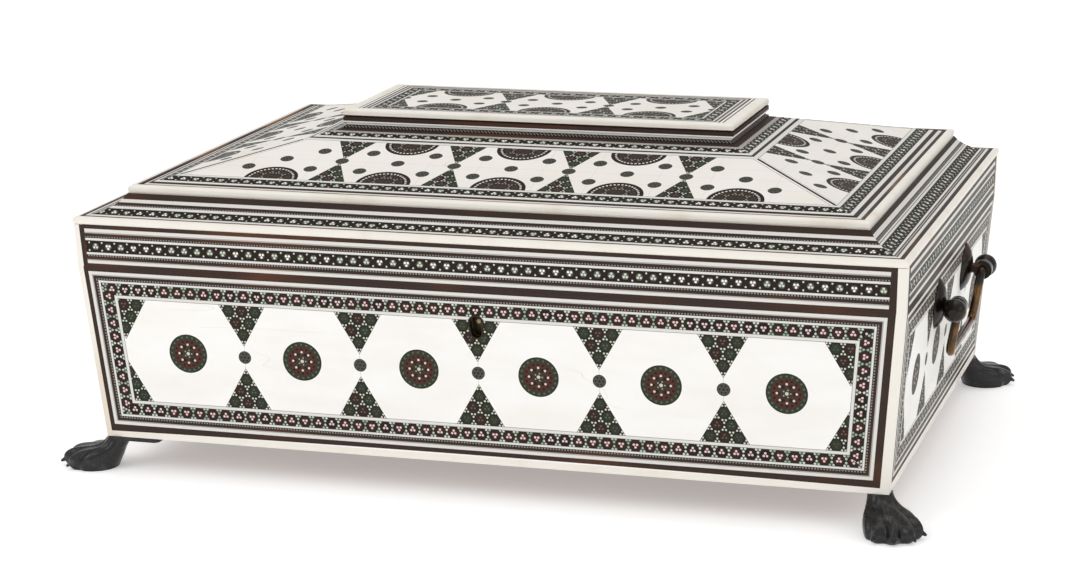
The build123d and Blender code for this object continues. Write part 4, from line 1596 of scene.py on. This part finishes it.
@dataclass
class Handles:
    """The drop handles with their plates, posts and nuts."""

    shape: BoxShape
    ends: tuple[tuple[str, float], ...] = (("left", -1.0), ("right", 1.0))
    narrow_half: float = 7.5
    ball_height: float = 11.0
    worn_bare: Tint = Tint(112, 84, 54)

    def dress(self, dresser: "Dresser") -> None:
        """Gives the handles their bronze and adds the broad leaves over the plates."""
        bronze = HANDLE_BRONZE.make()
        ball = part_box("bail_right")[1].z / MM - self.ball_height
        worn_bronze = replace(HANDLE_BRONZE, name="bail_bronze", bare=self.worn_bare,
                              worn_below=ball).make()
        for end, side in self.ends:
            dresser.dress(bronze, f"handle_plates_{end}", f"handle_posts_{end}")
            dresser.dress(worn_bronze, f"bail_{end}")
            low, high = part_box(f"handle_plates_{end}")
            piece = Piece(f"handle_leaves_{end}")
            for sign in (-1.0, 1.0):
                HandlePlate().build(piece, self.shape, side,
                                    sign * (high.y / MM - self.narrow_half),
                                    (low.z + high.z) / 2.0 / MM)
            piece.place("case", "handle_bronze", (bronze,), smooth=True)
        dresser.dress(bronze, "handle_nuts")


@dataclass
class Lid:
    """The stepped lid with its mouldings, sloping boards and flat top."""

    shape: BoxShape
    mouldings: tuple[tuple[str, Strip], ...] = (
        ("lid_corner_edgings", Strip.LID_CORNER), ("lower_nosing", Strip.LOWER),
        ("upper_nosing", Strip.UPPER), ("top_rim", Strip.RIM))
    brass_nodes: tuple[str, ...] = ("link_plate", "lid_hinge_leaves")

    def dress(self, dresser: "Dresser") -> None:
        """Gives every node of the lid its finish."""
        for side in Side:
            dresser.dress(RailFinish(self.shape, side).make(), f"lid_rail_{side.value}")
            dresser.dress(CoveFinish(self.shape, side).make(), f"cove_{side.value}")
            dresser.dress(RoofFinish(self.shape, side).make(), f"roof_{side.value}")
        dresser.dress(TopFinish(self.shape, Side.FRONT).make(), "top_panel")
        dresser.dress(PlinthFinish(self.shape).make(), "plinth_frame")
        for name, strip in self.mouldings:
            dresser.dress(BoneFinish(self.shape, strip).make(), name)
        dresser.dress(dresser.brass, *self.brass_nodes)


@dataclass
class Tray:
    """The lift-out tray."""

    node_names: tuple[str, ...] = ("tray_long_sides", "tray_short_sides", "tray_bottom",
                                   "tray_divider", "tray_cross_dividers")

    def dress(self, dresser: "Dresser") -> None:
        """Gives the tray its wood."""
        dresser.dress(TRAY_WOOD.make(), *self.node_names)


class Dresser:
    """Puts finishes on the nodes of the frame."""

    def __init__(self, node_objects: dict) -> None:
        """Keeps the frame's nodes, by name, and makes the finish that many pieces share."""
        self.node_objects = node_objects
        self.brass = OLD_BRASS.make()

    def dress(self, material: Material, *names: str) -> None:
        """Puts a material on nodes.

        Args:
            material: Their finish.
            names: The nodes.
        """
        for name in names:
            mesh = self.node_objects[name].data
            mesh.materials.clear()
            mesh.materials.append(material)
            LOG.info("dressed %s in %s", name, material.name)


@dataclass(frozen=True)
class Softbox:
    """Square soft light that is aimed at the box, with its power in watts."""

    name: str
    place: Point
    size: float
    power: float
    target: Point = (0.0, 0.0, 0.08)

    def hang(self) -> None:
        """Hangs the light."""
        data = bpy.data.lights.new(self.name, "AREA")
        data.size, data.energy = self.size, self.power
        light = stand(self.name, data)
        light.location = self.place
        aim = Vector(self.target) - Vector(self.place)
        light.rotation_euler = aim.to_track_quat("-Z", "Y").to_euler()


@dataclass
class Studio:
    """White sweep, soft lights and the camera."""

    camera_place: Point = (0.43789, -1.46442, 0.44155)
    yaw: float = -17.04
    pitch: float = -13.478
    roll: float = -0.757
    focal_pixels: float = 2905.9
    photo_width: float = 1080.0
    sensor_width: float = 36.0
    floor_half: float = 6.0
    floor_glow: float = 0.34
    floor_roughness: float = 0.9
    surroundings: float = 0.64
    softboxes: tuple[Softbox, ...] = (
        Softbox("key_softbox", (-1.4, -1.9, 1.7), size=1.6, power=17.0),
        Softbox("top_softbox", (0.1, 0.3, 2.0), size=1.8, power=10.0),
        Softbox("right_softbox", (2.2, -0.6, 1.1), size=1.2, power=4.0))

    def floor(self) -> None:
        """Lays the pale floor."""
        half = self.floor_half
        mesh = bpy.data.meshes.new("studio_floor")
        mesh.from_pydata([(-half, -half, 0), (half, -half, 0), (half, half, 0), (-half, half, 0)],
                         [], [(0, 1, 2, 3)])
        bench = Bench("studio_floor")
        colour = bench.mix(bench.read(FLOOR_MOTTLE), FLOOR_PALE, FLOOR_SHADE)
        glow = {"Specular IOR Level": 0.0, "Emission Color": WHITE,
                "Emission Strength": self.floor_glow}
        mesh.materials.append(bench.finish(colour, self.floor_roughness, glow))
        stand("studio_floor", mesh)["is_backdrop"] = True

    def world(self) -> None:
        """Makes the surroundings white to the camera and softer as light."""
        world = bpy.data.worlds.new("studio_world")
        bpy.context.scene.world = world
        bench = Bench(world.name, world)
        path = bench.node("ShaderNodeLightPath", {}, {})
        light, seen = (
            bench.node("ShaderNodeBackground", {}, {"Color": WHITE, "Strength": strength})
            for strength in (self.surroundings, 1.0))
        blend = bench.node("ShaderNodeMixShader", {}, {
            0: path.outputs["Is Camera Ray"], 1: light.outputs[0], 2: seen.outputs[0]})
        bench.node("ShaderNodeOutputWorld", {}, {0: blend.outputs[0]})

    def camera(self) -> None:
        """Stands the camera where the photograph was taken from."""
        yaw, pitch, roll = (math.radians(a) for a in (self.yaw, self.pitch, self.roll))
        ahead = Vector((math.sin(yaw) * math.cos(pitch), math.cos(yaw) * math.cos(pitch),
                        math.sin(pitch)))
        level = ahead.cross(Vector((0.0, 0.0, 1.0))).normalized()
        upright = level.cross(ahead)
        right = level * math.cos(roll) + upright * math.sin(roll)
        up = upright * math.cos(roll) - level * math.sin(roll)
        turn = Matrix((right, up, -ahead)).transposed()
        data = bpy.data.cameras.new("studio_camera")
        data.sensor_width = self.sensor_width
        data.lens = self.focal_pixels * self.sensor_width / self.photo_width
        camera = stand("studio_camera", data)
        camera.matrix_world = Matrix.Translation(self.camera_place) @ turn.to_4x4()
        bpy.context.scene.camera = camera

    def set_up(self) -> None:
        """Builds the whole studio."""
        self.floor()
        self.world()
        for softbox in self.softboxes:
            softbox.hang()
        self.camera()
        bpy.context.scene.view_settings.view_transform = "Standard"
        LOG.info("studio ready")


def corners(box: tuple[Vector, Vector]) -> list[list[float]]:
    """Two corners of a box as plain lists of numbers."""
    return [[float(c) for c in corner] for corner in box]


def main() -> None:
    """Loads the frame and dresses the box from the feet up."""
    logging.basicConfig(level=logging.INFO, format="%(message)s")
    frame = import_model()
    built = corners(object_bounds())
    shape = BoxShape.from_frame()
    dresser = Dresser(frame["nodes"])
    for part in (Feet(), Case(shape), Handles(shape), Lid(shape), Tray()):
        part.dress(dresser)
        LOG.info("finished %s", type(part).__name__)
    Studio().set_up()
    {"cad": built, "visual": corners(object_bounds())}


if __name__ == "__main__":
    main()
